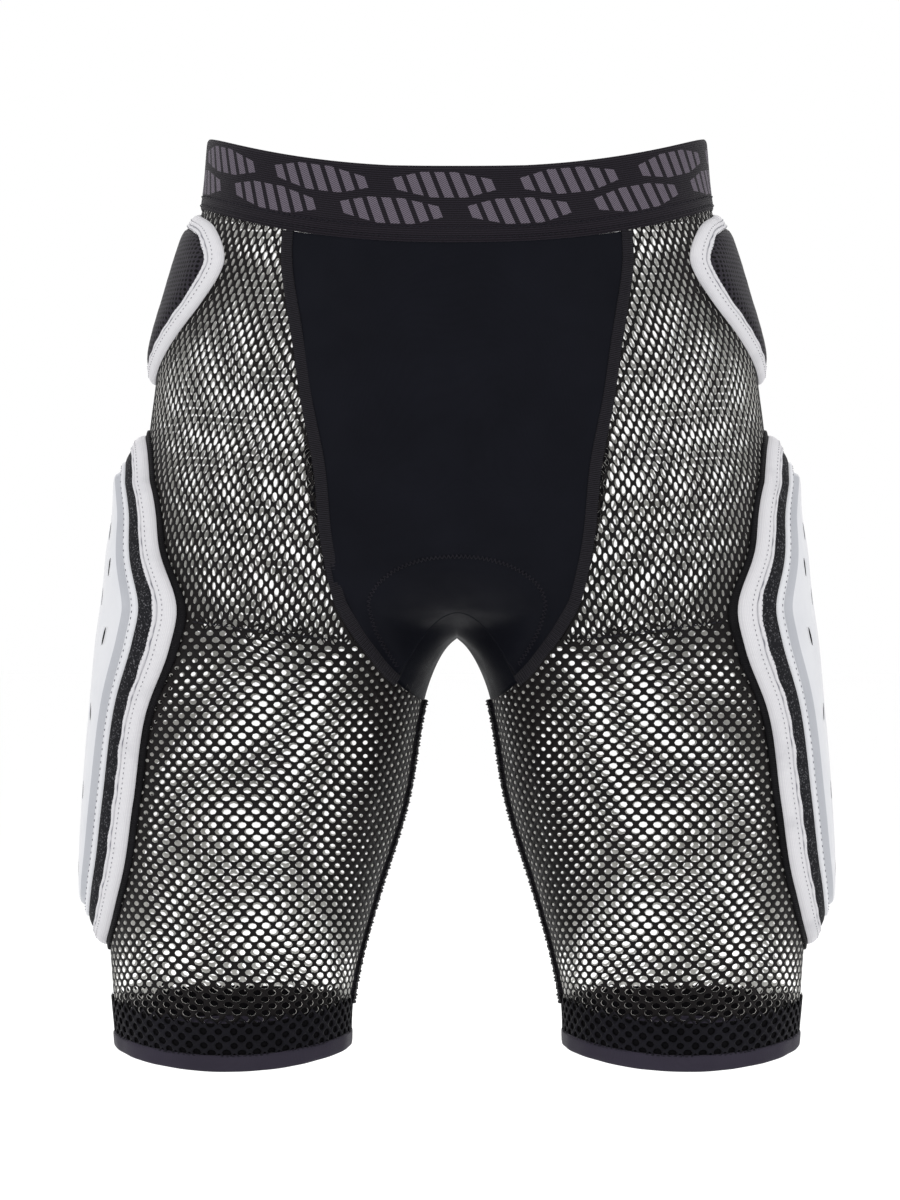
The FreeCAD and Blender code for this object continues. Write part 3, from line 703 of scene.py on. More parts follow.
def piece(obj, body, slot, *nodes):
    """Attaches a piece to a body, or for a side only bakes in its placement, and hides its CAD nodes; slot
    is not used.
    """
    if body in BENDS:
        bend(obj)
    else:
        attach(obj, body)
    if nodes:
        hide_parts(*nodes)


# ---- centre panels -----------------------------------------------------------------
def seam_x(z, way):
    return at(FRONT_F if way == FRONT else SEAT_F, z)


def panel_place(s, r, way, inset=0.0):
    corner = float(seam_x(-BAND_HEIGHT, way)) - inset
    seam_top = float(band_edge(np.array([corner]), way)[0])
    centre_top = float(band_edge(np.array([0.0]), way)[0])
    seam_z = seam_top + (SEAM_END - seam_top) * r
    x = s * (seam_x(seam_z, way) - inset)
    top = centre_top + (seam_top - centre_top) * np.abs(s) ** 2.3
    bottom = PANEL_END + (SEAM_END - PANEL_END) * s * s
    return x, top + (bottom - top) * r


def gusset_point(s, q):
    fx, fz = panel_place(s, 1.0, FRONT)
    bx, bz = panel_place(s, 1.0, BACK)
    front, back = facing(fx, fz, FRONT), facing(bx, bz, BACK)
    fa = np.arctan2(front[..., 0], front[..., 2] - TUNNEL)
    ba = np.arctan2(back[..., 0], back[..., 2] - TUNNEL)
    y = front[..., 1] * (1 - q) / 2 + back[..., 1] * (1 + q) / 2
    a = fa * q * (q - 1) / 2 + s * math.radians(68) * (1 - q * q) + ba * q * (q + 1) / 2
    return cast(points(0 * y, y, TUNNEL), points(np.sin(a), 0 * a, np.cos(a)), outward=False)


def panel_sheet(way):
    s, r = np.meshgrid(np.linspace(-1, 1, 61), np.linspace(0, 1, 200), indexing="ij")
    return evened(facing(*panel_place(s, r, way), way), 150)


def gusset_sheet():
    s, q = np.meshgrid(np.linspace(-1, 1, 61), np.linspace(-1, 1, 90), indexing="ij")
    return evened(gusset_point(s, q), 44)


CHAMOIS_OVAL = [(0, -256), (22, -258.5), (41, -267), (52, -280), (51, -293), (46, -306), (36, -322)]
oval = np.array([(-x, z) for x, z in reversed(CHAMOIS_OVAL)] + CHAMOIS_OVAL[1:], float)


def oval_distance(p):
    """Distance to the chamois's sewn edge on the front panel, positive inside."""
    flat = np.stack([p[..., 0], p[..., 2]], -1)
    loop = np.vstack([oval, [(36, -360), (-36, -360)]])
    return inside_distance(loop, flat)


def chamois_relief(p):
    """The front panel rises over the chamois, with a dip along its sewn edge."""
    inner = oval_distance(p)
    return 1.3 * np.clip(inner / 7, 0, 1) - 0.7 * np.exp(-(inner / 1.6) ** 2)


def centre_cloth(name, grid, high, node):
    p, n = draped(grid)
    obj = slab(name, p, n, -0.2, high, [M["stretch"], M["stretch_in"]], under=1)
    piece(obj, "pelvis", "stretch_fabric", node)


front = panel_sheet(FRONT)
centre_cloth("front_panel_cloth", front, 0.9 + chamois_relief(front), "front_panel")
centre_cloth("seat_panel_cloth", panel_sheet(BACK), 0.9, "seat_panel")
centre_cloth("crotch_gusset_cloth", gusset_sheet(), 1.0, "crotch_gusset")


# ---- chamois pad inside ---------------------------------------------------------------
def chamois():
    """Plump pad on the skin side, from the front panel through the gusset to the seat."""
    across, along, width = 31, 100, 0.86
    columns = []
    for s in np.linspace(-1, 1, across):
        ends = []
        for way, start in ((FRONT, 0.84), (BACK, 0.70)):
            r = np.linspace(start, 0.99, 30)
            share = np.minimum(1, (r - start) / (1 - start) / 0.75)
            wide = s * width * (0.38 + 0.62 * np.sqrt(1 - (1 - share) ** 2))
            ends.append(facing(*panel_place(wide, r, way, 3.75), way))
        middle = gusset_point(np.full(50, s * width), np.linspace(-1, 1, 50))
        columns.append(np.vstack([ends[0], middle, ends[1][::-1]]))
    p = evened(np.array(columns), along)
    column, row = np.arange(across), np.arange(along)
    from_middle = np.abs(column - across // 2)
    side_rise = np.minimum(1, (across // 2 - from_middle) / 4)
    end_rise = np.minimum(1, np.minimum(row, along - 1 - row) / 5)
    plump = np.sqrt(side_rise[:, None] * end_rise[None, :])
    channel = np.exp(-((from_middle - 6) / 0.8) ** 2)[:, None] * (end_rise > 0.9)
    pad = slab("chamois_pad", p, normals(p), -3.0 - 6.6 * plump + channel, -2.6, [M["chamois"]])
    piece(pad, "pelvis", "chamois_fabric", "chamois_foam", "chamois_cover")


chamois()


# ---- waistband ----------------------------------------------------------------------
def waistband():
    """Ribbed elastic, stitched along its lower hem and joined by two rows at the back."""
    hem_rows = (34.5, 40.5)
    angle = np.radians(np.linspace(0.0, 360.0, 421))
    direction = points(np.sin(angle), np.cos(angle), 0)
    drops = np.linspace(0, BAND_HEIGHT, 64)
    rows = []
    for drop in drops:
        z = np.full(len(angle), -drop)
        for _ in range(4):
            spot = cast(points(0, centre_y(z), z), direction)
            z = rim(spot[:, 1]) - drop
        rows.append(cast(points(0, centre_y(z), z), direction))
    p = np.array(rows)
    n = normals(p)
    around = reaches(p[0])
    marks = np.stack(np.broadcast_arrays(around[None, :], drops[:, None]), -1)
    hem_fold = sum(0.35 * np.exp(-((drops - row) / 0.5) ** 2) for row in hem_rows)
    round_edge = 1.1 * np.exp(-drops / 0.9) + 0.9 * np.exp(-(BAND_HEIGHT - drops) / 0.9)
    sway = 0.3 * np.sin(around / 21.0)[None, :] * (drops / BAND_HEIGHT)[:, None]
    band = slab("waistband_elastic", p, n, 0.0, (2.4 - round_edge - hem_fold)[:, None] + sway, [M["band"]],
                marks=marks)
    piece(band, "pelvis", "waist_elastic", "waistband")
    hems = [int(round(row / BAND_HEIGHT * 63)) for row in hem_rows]
    lines = [stitch_line(p[k], n[k], 2.4, 1.2, 2.35) for k in hems]
    lines += [stitch_line(p[4:60, k], n[4:60, k], 2.2, 1.0, 2.3) for k in (2, 418)]
    piece(stitches("waistband_stitches", lines, 0.32, M["thread_dark"]), "pelvis", "seam_tape")


waistband()


# ---- care label -------------------------------------------------------------------------
def care_label():
    """Satin strip inside the back of the waistband, standing off toward its lower end."""
    x, z = np.meshgrid(np.linspace(-14, 14, 15), np.linspace(-8, -48, 21))
    p = facing(x, z, BACK)
    stand_off = 0.5 * (z + 8) / -40
    label = slab("care_label_satin", p, normals(p), -0.9 - stand_off, -0.3 - stand_off, [M["label"]])
    piece(label, "pelvis", "label_satin", "care_label")


care_label()

# ---- side mesh ----------------------------------------------------------------------------
# Each knit: pitch along a row, pitch between rows, lean, hole half width and half height.
LEG_KNIT = (8.6, 4.0, 0.0, 1.30, 0.96)
HIP_KNIT = (6.6, 4.3, 0.10, 0.92, 1.38)
STEP_U = STEP_Z = 3.0
Z_ROWS = np.arange(-30.0, -541.0, -STEP_Z)
HALF_U = 330.0
U_COLS = np.arange(-HALF_U, HALF_U + 1, STEP_U)


def border_angle(z, way):
    """Angle of the seam at height z, on to the inseam below the crotch."""
    upper = np.maximum(z, SEAM_END)
    spot = facing(seam_x(upper, way), upper, way)
    angle = np.degrees(np.arctan2(-(spot[..., 1] - centre_y(upper)), spot[..., 0] - at(LEG_F[0], upper)))
    end = 180.0 if way == FRONT else -180.0
    return angle + (end - angle) * np.clip((SEAM_END - z) / 14.0, 0, 1)


def side_surface():
    theta = np.arange(-180.0, 180.1, 2.0)
    z, t = np.meshgrid(Z_ROWS, theta, indexing="ij")
    ring = polar(z, t)
    front_edge, back_edge = border_angle(Z_ROWS, FRONT), border_angle(Z_ROWS, BACK)
    grid = np.zeros((len(Z_ROWS), len(U_COLS)))
    for j in range(len(Z_ROWS)):
        reach = reaches(ring[j])
        reach -= np.interp(0.0, theta, reach)
        low, high = max(-180.0, back_edge[j] - 9), min(180.0, front_edge[j] + 9)
        grid[j] = np.clip(np.interp(U_COLS, reach, theta), low, high)
    spots = polar(Z_ROWS[:, None] + 0 * grid, grid)
    p, n = draped(spots)
    return spots, p, n, grid, front_edge, back_edge


def sample(grid, u, z):
    """Bilinear value of a side grid at cloth coordinates."""
    fu = np.clip((u + HALF_U) / STEP_U, 0, len(U_COLS) - 1.001)
    fz = np.clip((Z_ROWS[0] - z) / STEP_Z, 0, len(Z_ROWS) - 1.001)
    i, j = fu.astype(int), fz.astype(int)
    a, b = fu - i, fz - j
    if grid.ndim == 3:
        a, b = a[..., None], b[..., None]
    return (grid[j, i] * (1 - a) * (1 - b) + grid[j, i + 1] * a * (1 - b)
            + grid[j + 1, i] * (1 - a) * b + grid[j + 1, i + 1] * a * b)


KEY_ROW, KEY_BASE = 4096, 10 ** 8
OUTER = np.array([(2, 0), (1, 1), (0, 2), (-1, 1), (-2, 0), (-1, -1), (0, -2), (1, -1)])


def holed(name, columns, rows, place, keep, size, heights, materials):
    """Perforated cloth: diamond cells, each with an oval hole, joined along their edges."""
    i, j = (v.ravel() for v in np.meshgrid(columns, rows))
    a0, b0 = 4 * i + 2 * (j % 2), 2 * j
    ok = keep(a0, b0)
    a0, b0 = a0[ok], b0[ok]
    key = (a0[:, None] + OUTER[:, 0]) * KEY_ROW + (b0[:, None] + OUTER[:, 1]) + KEY_BASE
    unique, inverse = np.unique(key, return_inverse=True)
    inverse = inverse.reshape(key.shape)
    ua = ((unique - KEY_BASE + KEY_ROW // 2) // KEY_ROW).astype(float)
    ub = (unique - KEY_BASE) - ua * KEY_ROW
    rx, rz = size(a0, b0)
    angle = np.arange(8) * math.pi / 4
    ha = a0[:, None] + rx[:, None] * np.cos(angle)
    hb = b0[:, None] + rz[:, None] * np.sin(angle)
    top, rim_top, rim_low, low = heights
    outer, outer_n = place(ua, ub)
    hole, hole_n = place(ha.ravel(), hb.ravel())
    nu, nh = len(unique), ha.size
    verts = np.vstack([outer + outer_n * top, outer + outer_n * low,
                       hole + hole_n * rim_top, hole + hole_n * rim_low])
    ring = np.arange(nh).reshape(-1, 8)
    o0, o1 = inverse, np.roll(inverse, -1, 1)
    h0, h1 = ring, np.roll(ring, -1, 1)
    upper = np.stack([o0, o1, h1 + 2 * nu, h0 + 2 * nu], -1).reshape(-1, 4)
    lower = np.stack([o1 + nu, o0 + nu, h0 + 2 * nu + nh, h1 + 2 * nu + nh], -1).reshape(-1, 4)
    wall = np.stack([h0 + 2 * nu, h1 + 2 * nu, h1 + 2 * nu + nh, h0 + 2 * nu + nh], -1).reshape(-1, 4)
    faces = np.vstack([upper, lower, wall])
    picks = np.r_[np.zeros(len(upper)), np.ones(len(lower)), np.ones(len(wall))]
    obj = add_mesh(name, verts, faces, materials, picks)
    return obj, len(a0)


spots, P_SIDE, N_SIDE, THETA, FRONT_EDGE, BACK_EDGE = side_surface()


def knit_line(x):
    """Height of the line where the hip's knit changes to the leg's."""
    return -295.0 - (156.0 - x) * 0.128


def side_cloth(side):
    """The three mesh pieces of a side and the stitched line between its two knits."""
    made = []
    for name, knit_kind, top, bottom, node in (("hip", HIP_KNIT, 0.0, None, "hip_mesh"),
                                               ("upper_thigh", LEG_KNIT, None, -340.0, "leg_mesh"),
                                               ("thigh", LEG_KNIT, -340.0, -600.0, "leg_mesh")):
        pitch_u, pitch_z, lean, wide, tall = knit_kind

        def coordinates(a, b):
            u, z = a * pitch_u / 4, -44.0 - b * pitch_z / 2
            u = u + lean * (z + 200)
            z = z + 2.2 * np.sin(u / 47.0) + 1.2 * np.sin(u / 19.0 + z / 60.0)
            u = u + 1.6 * np.sin(z / 39.0) + 0.8 * np.sin(z / 15.0 + u / 40.0)
            return u, z

        def place(a, b):
            u, z = coordinates(np.asarray(a, float), np.asarray(b, float))
            p, n = sample(P_SIDE, u, z), sample(N_SIDE, u, z)
            return sided(side, p, n / np.linalg.norm(n, axis=-1, keepdims=True))

        def keep(a, b):
            u, z = coordinates(a.astype(float), b.astype(float))
            t = sample(THETA, u, z)
            front_edge = np.interp(-z, -Z_ROWS, FRONT_EDGE)
            back_edge = np.interp(-z, -Z_ROWS, BACK_EDGE)
            spot = sample(spots, u, z)
            change = knit_line(spot[..., 0])
            high = change + 2.2 if top is None else top
            low = change - 2.2 if bottom is None else bottom
            ok = (t < front_edge - 0.3) & (t > back_edge + 0.3) & (z < high) & (z >= low)
            full = np.abs(t) < 180 - 0.6 * np.degrees(4.0 / 85.0)
            edge = rim(spot[..., 1]) - BAND_HEIGHT + 2.0
            flat = np.stack([spot[..., 1], spot[..., 2]], -1)
            under = (inside_distance(GUARD_LOOP, flat) > 14) & (spot[..., 0] > 100)
            under |= (inside_distance(HIP_LOOP, flat) > 13) & (spot[..., 0] > 100)
            return ok & full & (z < edge) & (z > hem_height(spot[..., 1], 27.0)) & ~under

        def size(a, b):
            u, z = coordinates(a.astype(float), b.astype(float))
            spot = sample(spots, u, z)
            flat = np.stack([spot[..., 1], spot[..., 2]], -1)
            noise = 0.06 * np.sin(a * 12.9898 + b * 78.233) + 0.05 * np.sin(z / 21.0 + u / 33.0)
            # holes close up along the guard's edge; near the hip pad they shrink as painted shade, the
            # smaller holes darkening the mesh
            shrink = 1 - 0.5 * np.exp(-(np.minimum(inside_distance(GUARD_LOOP, flat), 0) / 17.0) ** 2)
            shrink -= 0.35 * np.exp(-(np.minimum(inside_distance(HIP_LOOP, flat), 0) / 12.0) ** 2)
            return (wide + noise) * shrink, (tall + 0.6 * noise) * shrink

        obj, count = holed(side + "_" + name + "_mesh_cloth", np.arange(-52, 53), np.arange(0, 130), place,
                           keep, size, (0.75, 0.45, 0.1, -0.15), [M["mesh"], M["mesh_in"]])
        piece(obj, side, "hole_mesh", side + "_" + node)
        made.append((obj, count * pitch_u * pitch_z * 1e-6))
    lines = []
    for way, inner, outer in ((FRONT, 75.0, 158.0), (BACK, 78.0, 150.0)):
        x = np.linspace(inner, outer, 60)
        lines.append(stitch_line(*sided(side, *draped(facing(x, knit_line(x), way))), 3.4, 0.9, 1.0))
    piece(stitches(side + "_knit_line", lines, 0.42, M["thread_dark"]), side, "seam_tape")
    return made


def hem_height(y, rise):
    """Height of a line above the hem, which dips toward the front."""
    return -556.0 + rise - 8.0 * (np.maximum(0.0, -y) / 70.0) ** 2


for side in ("left", "right"):
    for (obj, cut), wide, tall in zip(side_cloth(side), (0.30, 0.50, 0.50), (0.27, 0.05, 0.20)):
        print(obj.name, "cloth area", round(cut, 4))


# ---- seam tapes ---------------------------------------------------------------------------
def seam_tape(name, path, body, side, node, loose=0.0, size=1.0):
    """Overlock tape along a path; loose threads stand off it where loose isn't zero."""
    across = np.cross(normals(path), np.gradient(path, axis=0))
    reach = reaches(path)
    count = int(reach[-1] / 0.7)
    goal = np.linspace(0, reach[-1], count)
    line = resampled(path, reach, goal)
    sideways = resampled(across, reach, goal)
    sideways /= np.linalg.norm(sideways, axis=1, keepdims=True)
    shares = np.linspace(-1, 1, 11)
    wander = 0.5 * np.sin(goal / 13.0) + loose * np.sin(goal / 2.3) * np.sin(goal / 7.0)
    p = line[:, None] + sideways[:, None] * (shares[None, :] * 3.6 * size + wander[:, None])[..., None]
    p = settle(p)
    p, n = draped(p)
    ridge = 0.22 * np.sin(goal * 2 * math.pi / 2.2)[:, None] * (1 - shares ** 4)[None, :]
    groove = 0.25 * np.exp(-(shares / 0.16) ** 2)[None, :]
    high = 1.15 + 0.85 * np.sqrt(1 - shares ** 2 * 0.96)[None, :] + ridge - groove
    high = high * size + loose * 0.8 * np.abs(np.sin(goal * 1.7) * np.sin(goal * 0.61))[:, None]
    p, n = sided(side, p, n)
    marks = np.stack(np.broadcast_arrays(goal[:, None], shares[None, :] * 3.6), -1)
    piece(slab(name, p, n, -0.1, high, [M["tape"]], marks=marks), body, "seam_tape", node)


for side in ("left", "right"):
    for way, word in ((FRONT, "front"), (BACK, "back")):
        corner = seam_x(-BAND_HEIGHT, way)
        top = float(band_edge(np.array([corner]), way)[0])
        z = np.linspace(top, SEAM_END, 160)
        path = facing(seam_x(z, way), z, way)
        seam_tape(f"{side}_{word}_overlock", path, "pelvis", side, f"{side}_{word}_seam_tape")
    z = np.linspace(-343, -530, 90)
    path = polar(z, 180.0 + 0 * z)
    seam_tape(f"{side}_inseam_overlock", path, side, side, f"{side}_inseam_tape", 1.2, 1.8)


# ---- hem ---------------------------------------------------------------------------------------
HEM_COUNT = 260


def ring_rows(rises):
    t = np.linspace(-180, 180, HEM_COUNT, endpoint=False)
    return np.array([polar(hem_height(-70 * np.sin(np.radians(t)), rise), t) for rise in rises])


def hem(side):
    """Hem tape with its stitches, and above it the perforated cuff on its lining."""
    rises = np.array([0, 0.5, 1.2, 2.5, 4.5, 6.5, 8.2, 9.3, 10.0])
    p = ring_rows(rises)
    q, m = sided(side, p, normals(p))
    lift = 2.8 - 1.3 * np.exp(-rises / 0.6) - 0.9 * np.exp(-(10 - rises) / 0.6)
    turn = np.arange(HEM_COUNT) * 2 * math.pi
    lift = lift[:, None] + 0.25 * np.sin(turn / 26)[None, :] + 0.15 * np.sin(turn / 11)[None, :]
    tape = slab(side + "_hem_tape_cloth", q, m, 0.0, lift, [M["hem"]], wrap=True)
    piece(tape, side + "_leg", "hem_tape", side + "_hem_tape")
    lines = [stitch_line(q[7], m[7], 2.2, 1.1, 2.35)]
    piece(stitches(side + "_hem_stitches", lines, 0.28, M["thread_dark"]), side + "_leg", "seam_tape")
    p = ring_rows(np.linspace(9.2, 29.0, 12))
    # lining behind the cuff holes, its near-black partly painted shade inside the hem
    lining = slab(side + "_cuff_lining", *sided(side, p, normals(p)), 0.0, 0.8, [M["cuff_in"]], wrap=True)
    piece(lining, side + "_leg", "cuff_mesh")
    perimeter = np.linalg.norm(np.diff(looped(p[5]), axis=0), axis=1).sum()
    cells = int(round(perimeter / 8.6))

    def place(a, b):
        a, b = np.asarray(a, float), np.asarray(b, float)
        t = (a % (4 * cells)) / (4 * cells) * 360 - 180
        z = hem_height(-70 * np.sin(np.radians(t)), 28.6 - b * 2.15)
        spot = polar(z, t)
        return sided(side, spot, normals(spot))

    def size(a, b):
        return 1.12 + 0.1 * np.sin(a * 1.7), 1.02 + 0.1 * np.sin(a * 2.3 + b)

    cuff, count = holed(side + "_cuff_mesh", np.arange(0, cells), np.arange(0, 5), place,
                        lambda a, b: a >= 0, size, (2.3, 1.9, 1.1, 0.9), [M["cuff"], M["cuff_in"]])
    piece(cuff, side + "_leg", "cuff_mesh", side + "_hem_cuff")


for side in ("left", "right"):
    hem(side)


# ---- pads --------------------------------------------------------------------------------------
def lathe_rings(loop, edges, middle, top_reach, tip_reach, fills=()):
    """Rings of flat points at distances inside an outline, then on to its middle line."""
    goal = np.stack([np.full(len(loop), middle),
                     np.clip(loop[:, 1], loop[:, 1].min() + tip_reach, loop[:, 1].max() - top_reach)], 1)
    rings = []
    share = np.zeros(len(loop))
    for e in edges:
        if e <= 0:
            away = loop - goal
            rings.append(loop - away / np.linalg.norm(away, axis=1, keepdims=True) * e)
            continue
        low, high = np.zeros(len(loop)), np.ones(len(loop))
        for _ in range(18):
            mid = (low + high) / 2
            deep = inside_distance(loop, loop + (goal - loop) * mid[:, None]) > e
            low, high = np.where(deep, low, mid), np.where(deep, mid, high)
        share = (low + high) / 2
        rings.append(loop + (goal - loop) * share[:, None])
    for f in fills:
        rings.append(loop + (goal - loop) * (share + (1 - share) * f)[:, None])
    return np.array(rings)


def pad_piece(name, side, rings, place, low, high, materials, marks=None, paint=0):
    p = place(rings[..., 0], rings[..., 1])
    n = normals(p)
    if side == "right":
        p, n = mirror(p), mirror(n)
    obj = slab(name, p, n, low, high, materials, wrap=True, marks=marks, paint=paint)
    return recalc(obj, 0.02), p, n


def ring_marks(rings, edges):
    around = reaches(looped(rings[0]))[:-1]
    return np.stack(np.broadcast_arrays(around[None, :], np.asarray(edges, float)[:, None]), -1)


def binding(name, side, loop, middle, place, base, width, rise, reach, node, body):
    """Folded tape over a pad's edge, with a crease, a wavy inner edge and two stitch rows."""
    w = width / 9.0
    edges = np.array([-2.2, -2.0, -1.3, -0.2, 1.2, 2.6, 3.9, 5.0, 5.7, 6.2, 7.0, 7.9, 8.6, 9.0]) * w
    lift = np.array([0.0, 0.16, 0.36, 0.54, 0.68, 0.79, 0.87, 0.91, 0.84, 0.92, 0.99, 1.0, 0.95, 0.82])
    rings = lathe_rings(loop, edges, middle, *reach)
    k = np.arange(rings.shape[1])
    wave = 0.45 * np.sin(k * 2 * math.pi / 9) * np.sin(k * 2 * math.pi / 41)
    toward = rings[-1] - rings[-3]
    toward /= np.linalg.norm(toward, axis=1, keepdims=True)
    for row, much in ((-1, 1.6), (-2, 1.4), (-3, 0.9)):
        rings[row] += toward * (wave * much)[:, None]
    puckers = 0.18 * np.sin(k * 2 * math.pi / 7)[None, :] * (lift[:, None] > 0.9)
    high = base + (rise - base) * lift[:, None] + puckers
    low = np.full(high.shape, base - 0.1)
    low[-3:] = rise - 1.3
    obj, p, n = pad_piece(name, side, rings, place, low, high, [M["binding"]], ring_marks(rings, edges / w))
    piece(obj, body, "white_binding", node)
    lines = []
    for row in (5, 11):
        path, up = looped(p[row]), looped(n[row])
        lifted = path + up * np.r_[high[row], high[row][:1]][:, None]
        lines.append(stitch_line(lifted, up, 1.3, 1.8, 0.02))
    piece(stitches(name + "_stitches", lines, 0.24, M["thread_grey"]), body, "white_binding")


def swell(obj, pressure, cap, frames=16):
    """Pad filled out by cloth simulation, no point moving farther than cap."""
    scene = bpy.context.scene
    rest = np.array([v.co for v in obj.data.vertices])
    group = obj.vertex_groups.new(name="pin")
    edge = obj.data.attributes["pin"].data
    held = np.zeros(len(rest), np.float32)
    edge.foreach_get("value", held)
    for i in np.nonzero(held > 0.01)[0]:
        group.add([int(i)], float(held[i]), "REPLACE")
    cloth = obj.modifiers.new("fill", "CLOTH")
    cloth.settings.use_pressure = True
    cloth.settings.uniform_pressure_force = pressure
    cloth.settings.effector_weights.gravity = 0.0
    cloth.settings.vertex_group_mass = "pin"
    cloth.settings.quality = 6
    cloth.point_cache.frame_start, cloth.point_cache.frame_end = 1, frames
    for f in range(1, frames + 1):
        scene.frame_set(f)
    done = obj.evaluated_get(bpy.context.evaluated_depsgraph_get())
    moved = np.array([v.co for v in done.data.vertices]) - rest
    scene.frame_set(1)
    obj.modifiers.remove(cloth)
    size = np.linalg.norm(moved, axis=1, keepdims=True)
    moved *= np.minimum(1, cap * MM / np.maximum(size, 1e-9))
    obj.data.vertices.foreach_set("co", (rest + moved).astype(np.float32).ravel())
    obj.data.update()


# How far the middle line of each pad stops from its top and its tip.
GUARD_REACH, HIP_REACH, TAIL_REACH = (50, 45), (44, 44), (38, 50)


def guard(side):
    """Leg guard: side panel, felt cover, binding, and the vented shell with its stitches."""
    body = side + "_leg"
    loop = smooth_loop(GUARD, 300)
    middle = 3.0
    wide = np.array([-5.5, -5.1, -4.2, -2.4, 0.0, 3.0, 8.0])
    rings = lathe_rings(loop, wide, middle, *GUARD_REACH, (0.4, 1.0))
    lift = np.r_[1.5, 2.3, 2.5, 2.6, 2.6, 2.6, 2.6, 2.6, 2.6][:, None]
    obj, _, _ = pad_piece(side + "_side_panel_cloth", side, rings, side_place, 0.9, lift, [M["side"]])
    piece(obj, body, "stretch_fabric", side + "_side_panel", side + "_guard_backing")
    edges = np.array([4.0, 6.5, 8.5, 10.5, 13, 15, 17, 19, 20.5, 22])
    rings = lathe_rings(loop, edges, middle, *GUARD_REACH, (0.3, 0.65, 1.0))
    lift = np.r_[8.6, 9.3, 10.2, 11.2, 12.1, 12.4, 12.35, 12.2, 12.0, 11.9, 11.9, 11.9, 11.9][:, None]
    obj, _, _ = pad_piece(side + "_guard_felt_cover", side, rings, side_place, 3.2, lift, [M["felt"]])
    piece(obj, body, "speckled_felt", side + "_guard_felt", side + "_guard_foam")
    binding(side + "_guard_binding_tape", side, loop, middle, side_place, 3.0, 7.6, 10.4, GUARD_REACH,
            side + "_guard_binding", body)
    edges = np.array([15.5, 15.7, 16.3, 17.0, 18.4, 19.6, 20.4, 21.2, 22.2, 23.2, 24.2, 25.4, 27, 29.5, 33])
    lift = np.array([12.2, 13.6, 14.2, 14.4, 14.5, 14.4, 14.1, 14.0, 14.9, 16.2, 17.3, 18.0, 18.35,
                     18.5, 18.6, 18.7, 18.75, 18.8, 18.8])[:, None]
    rings = lathe_rings(loop, edges, middle, *GUARD_REACH, (0.25, 0.5, 0.75, 1.0))
    # rows in the groove take the greyer plastic that is painted shade
    paint = np.where((edges[:-1] > 20) & (edges[:-1] < 24), 2, 0)
    obj, p, n = pad_piece(side + "_shell_moulding", side, rings, side_place, 12.3, lift,
                          [M["shell"], M["slot"], M["bevel"]], paint=np.r_[paint, 0, 0, 0, 0])
    piece(obj, body, "white_shell", side + "_guard_shell")
    cut_vents(obj, side)
    lines = [stitch_line(looped(p[4]), looped(n[4]), 1.6, 2.4, 14.55)]
    piece(stitches(side + "_shell_stitches", lines, 0.3, M["thread_grey"]), body, "white_binding")


VENTS = [(24, -240, 20), (37, -262, -15), (20, -280, 25), (42, -304, -20), (24, -350, 20),
         (17, -398, 12), (10, -446, 8)]


def vent_tool(side, turn):
    """Slanted bars that cut the vents; turn spins their rounded section."""
    bm = bmesh.new()
    spin = math.radians(turn)
    for distance, z, tilt in VENTS:
        for way in (-1, 1):
            made = bmesh.ops.create_cone(bm, cap_ends=True, segments=16, radius1=1.0, radius2=1.0, depth=1.0)
            t = math.radians(tilt) * way
            for v in made["verts"]:
                x, y, h = v.co
                x, y = x * math.cos(spin) - y * math.sin(spin), x * math.sin(spin) + y * math.cos(spin)
                ly, lz = y * 1.5, x * 5.8
                v.co = (220 + h * 90, 3.0 + way * distance + ly * math.cos(t) - lz * math.sin(t),
                        z + ly * math.sin(t) + lz * math.cos(t))
                v.co *= MM
                if side == "right":
                    v.co.x *= -1
    bmesh.ops.recalc_face_normals(bm, faces=bm.faces)
    mesh = bpy.data.meshes.new("vents")
    bm.to_mesh(mesh)
    bm.free()
    # the cut walls take this near-black material, which is painted shade
    mesh.materials.append(M["slot"])
    tool = bpy.data.objects.new("vents", mesh)
    bpy.context.scene.collection.objects.link(tool)
    return tool


def cut_vents(obj, side):
    """Short slanted slots through the shell's raised face."""
    limits = np.abs(np.array([v.co.x for v in obj.data.vertices]))
    for turn in (0.0, 3.0, 6.0, 9.0):
        tool = vent_tool(side, turn)
        modifier = obj.modifiers.new("vents", "BOOLEAN")
        modifier.operation = "DIFFERENCE"
        modifier.object = tool
        modifier.solver = "EXACT"
        deps = bpy.context.evaluated_depsgraph_get()
        result = bpy.data.meshes.new_from_object(obj.evaluated_get(deps))
        obj.modifiers.remove(modifier)
        bpy.data.objects.remove(tool)
        spots_x = np.abs(np.array([v.co.x for v in result.vertices]))
        cut = len(result.vertices) > len(limits)
        if cut and spots_x.min() > limits.min() - 1e-4 and spots_x.max() < limits.max() + 1e-4:
            obj.data = result
            return
    raise RuntimeError("the vents were not cut on the " + side)


def cushion(name, side, pts, middle, place, width, reach, top, *nodes):
    """Crowned pad inside a binding, filled out by simulation."""
    loop = smooth_loop(pts, 200)
    edges = width + np.array([-2.0, -1.0, 0, 1, 2.5, 4.5, 7, 10])
    rings = lathe_rings(loop, edges, middle, *reach, (0.25, 0.5, 0.75, 1.0))
    base = np.array([0.40, 0.52, 0.62, 0.72, 0.86, 0.93, 0.98, 1.0, 1.02, 1.03, 1.04, 1.04])[:, None]
    obj, _, _ = pad_piece(name, side, rings, place, 1.6, top * base, [M["spacer"]], rings.copy())
    layer = obj.data.attributes.new("pin", "FLOAT", "POINT")
    spots_mm = np.array([v.co for v in obj.data.vertices]) / MM
    distance = inside_distance(loop, spots_mm[:, [1, 2] if place is side_place else [0, 2]])
    layer.data.foreach_set("value", (distance < width + 1.5).astype(np.float32))
    swell(obj, 3.0, 3.0)
    piece(obj, "pelvis", "spacer_mesh", *nodes)


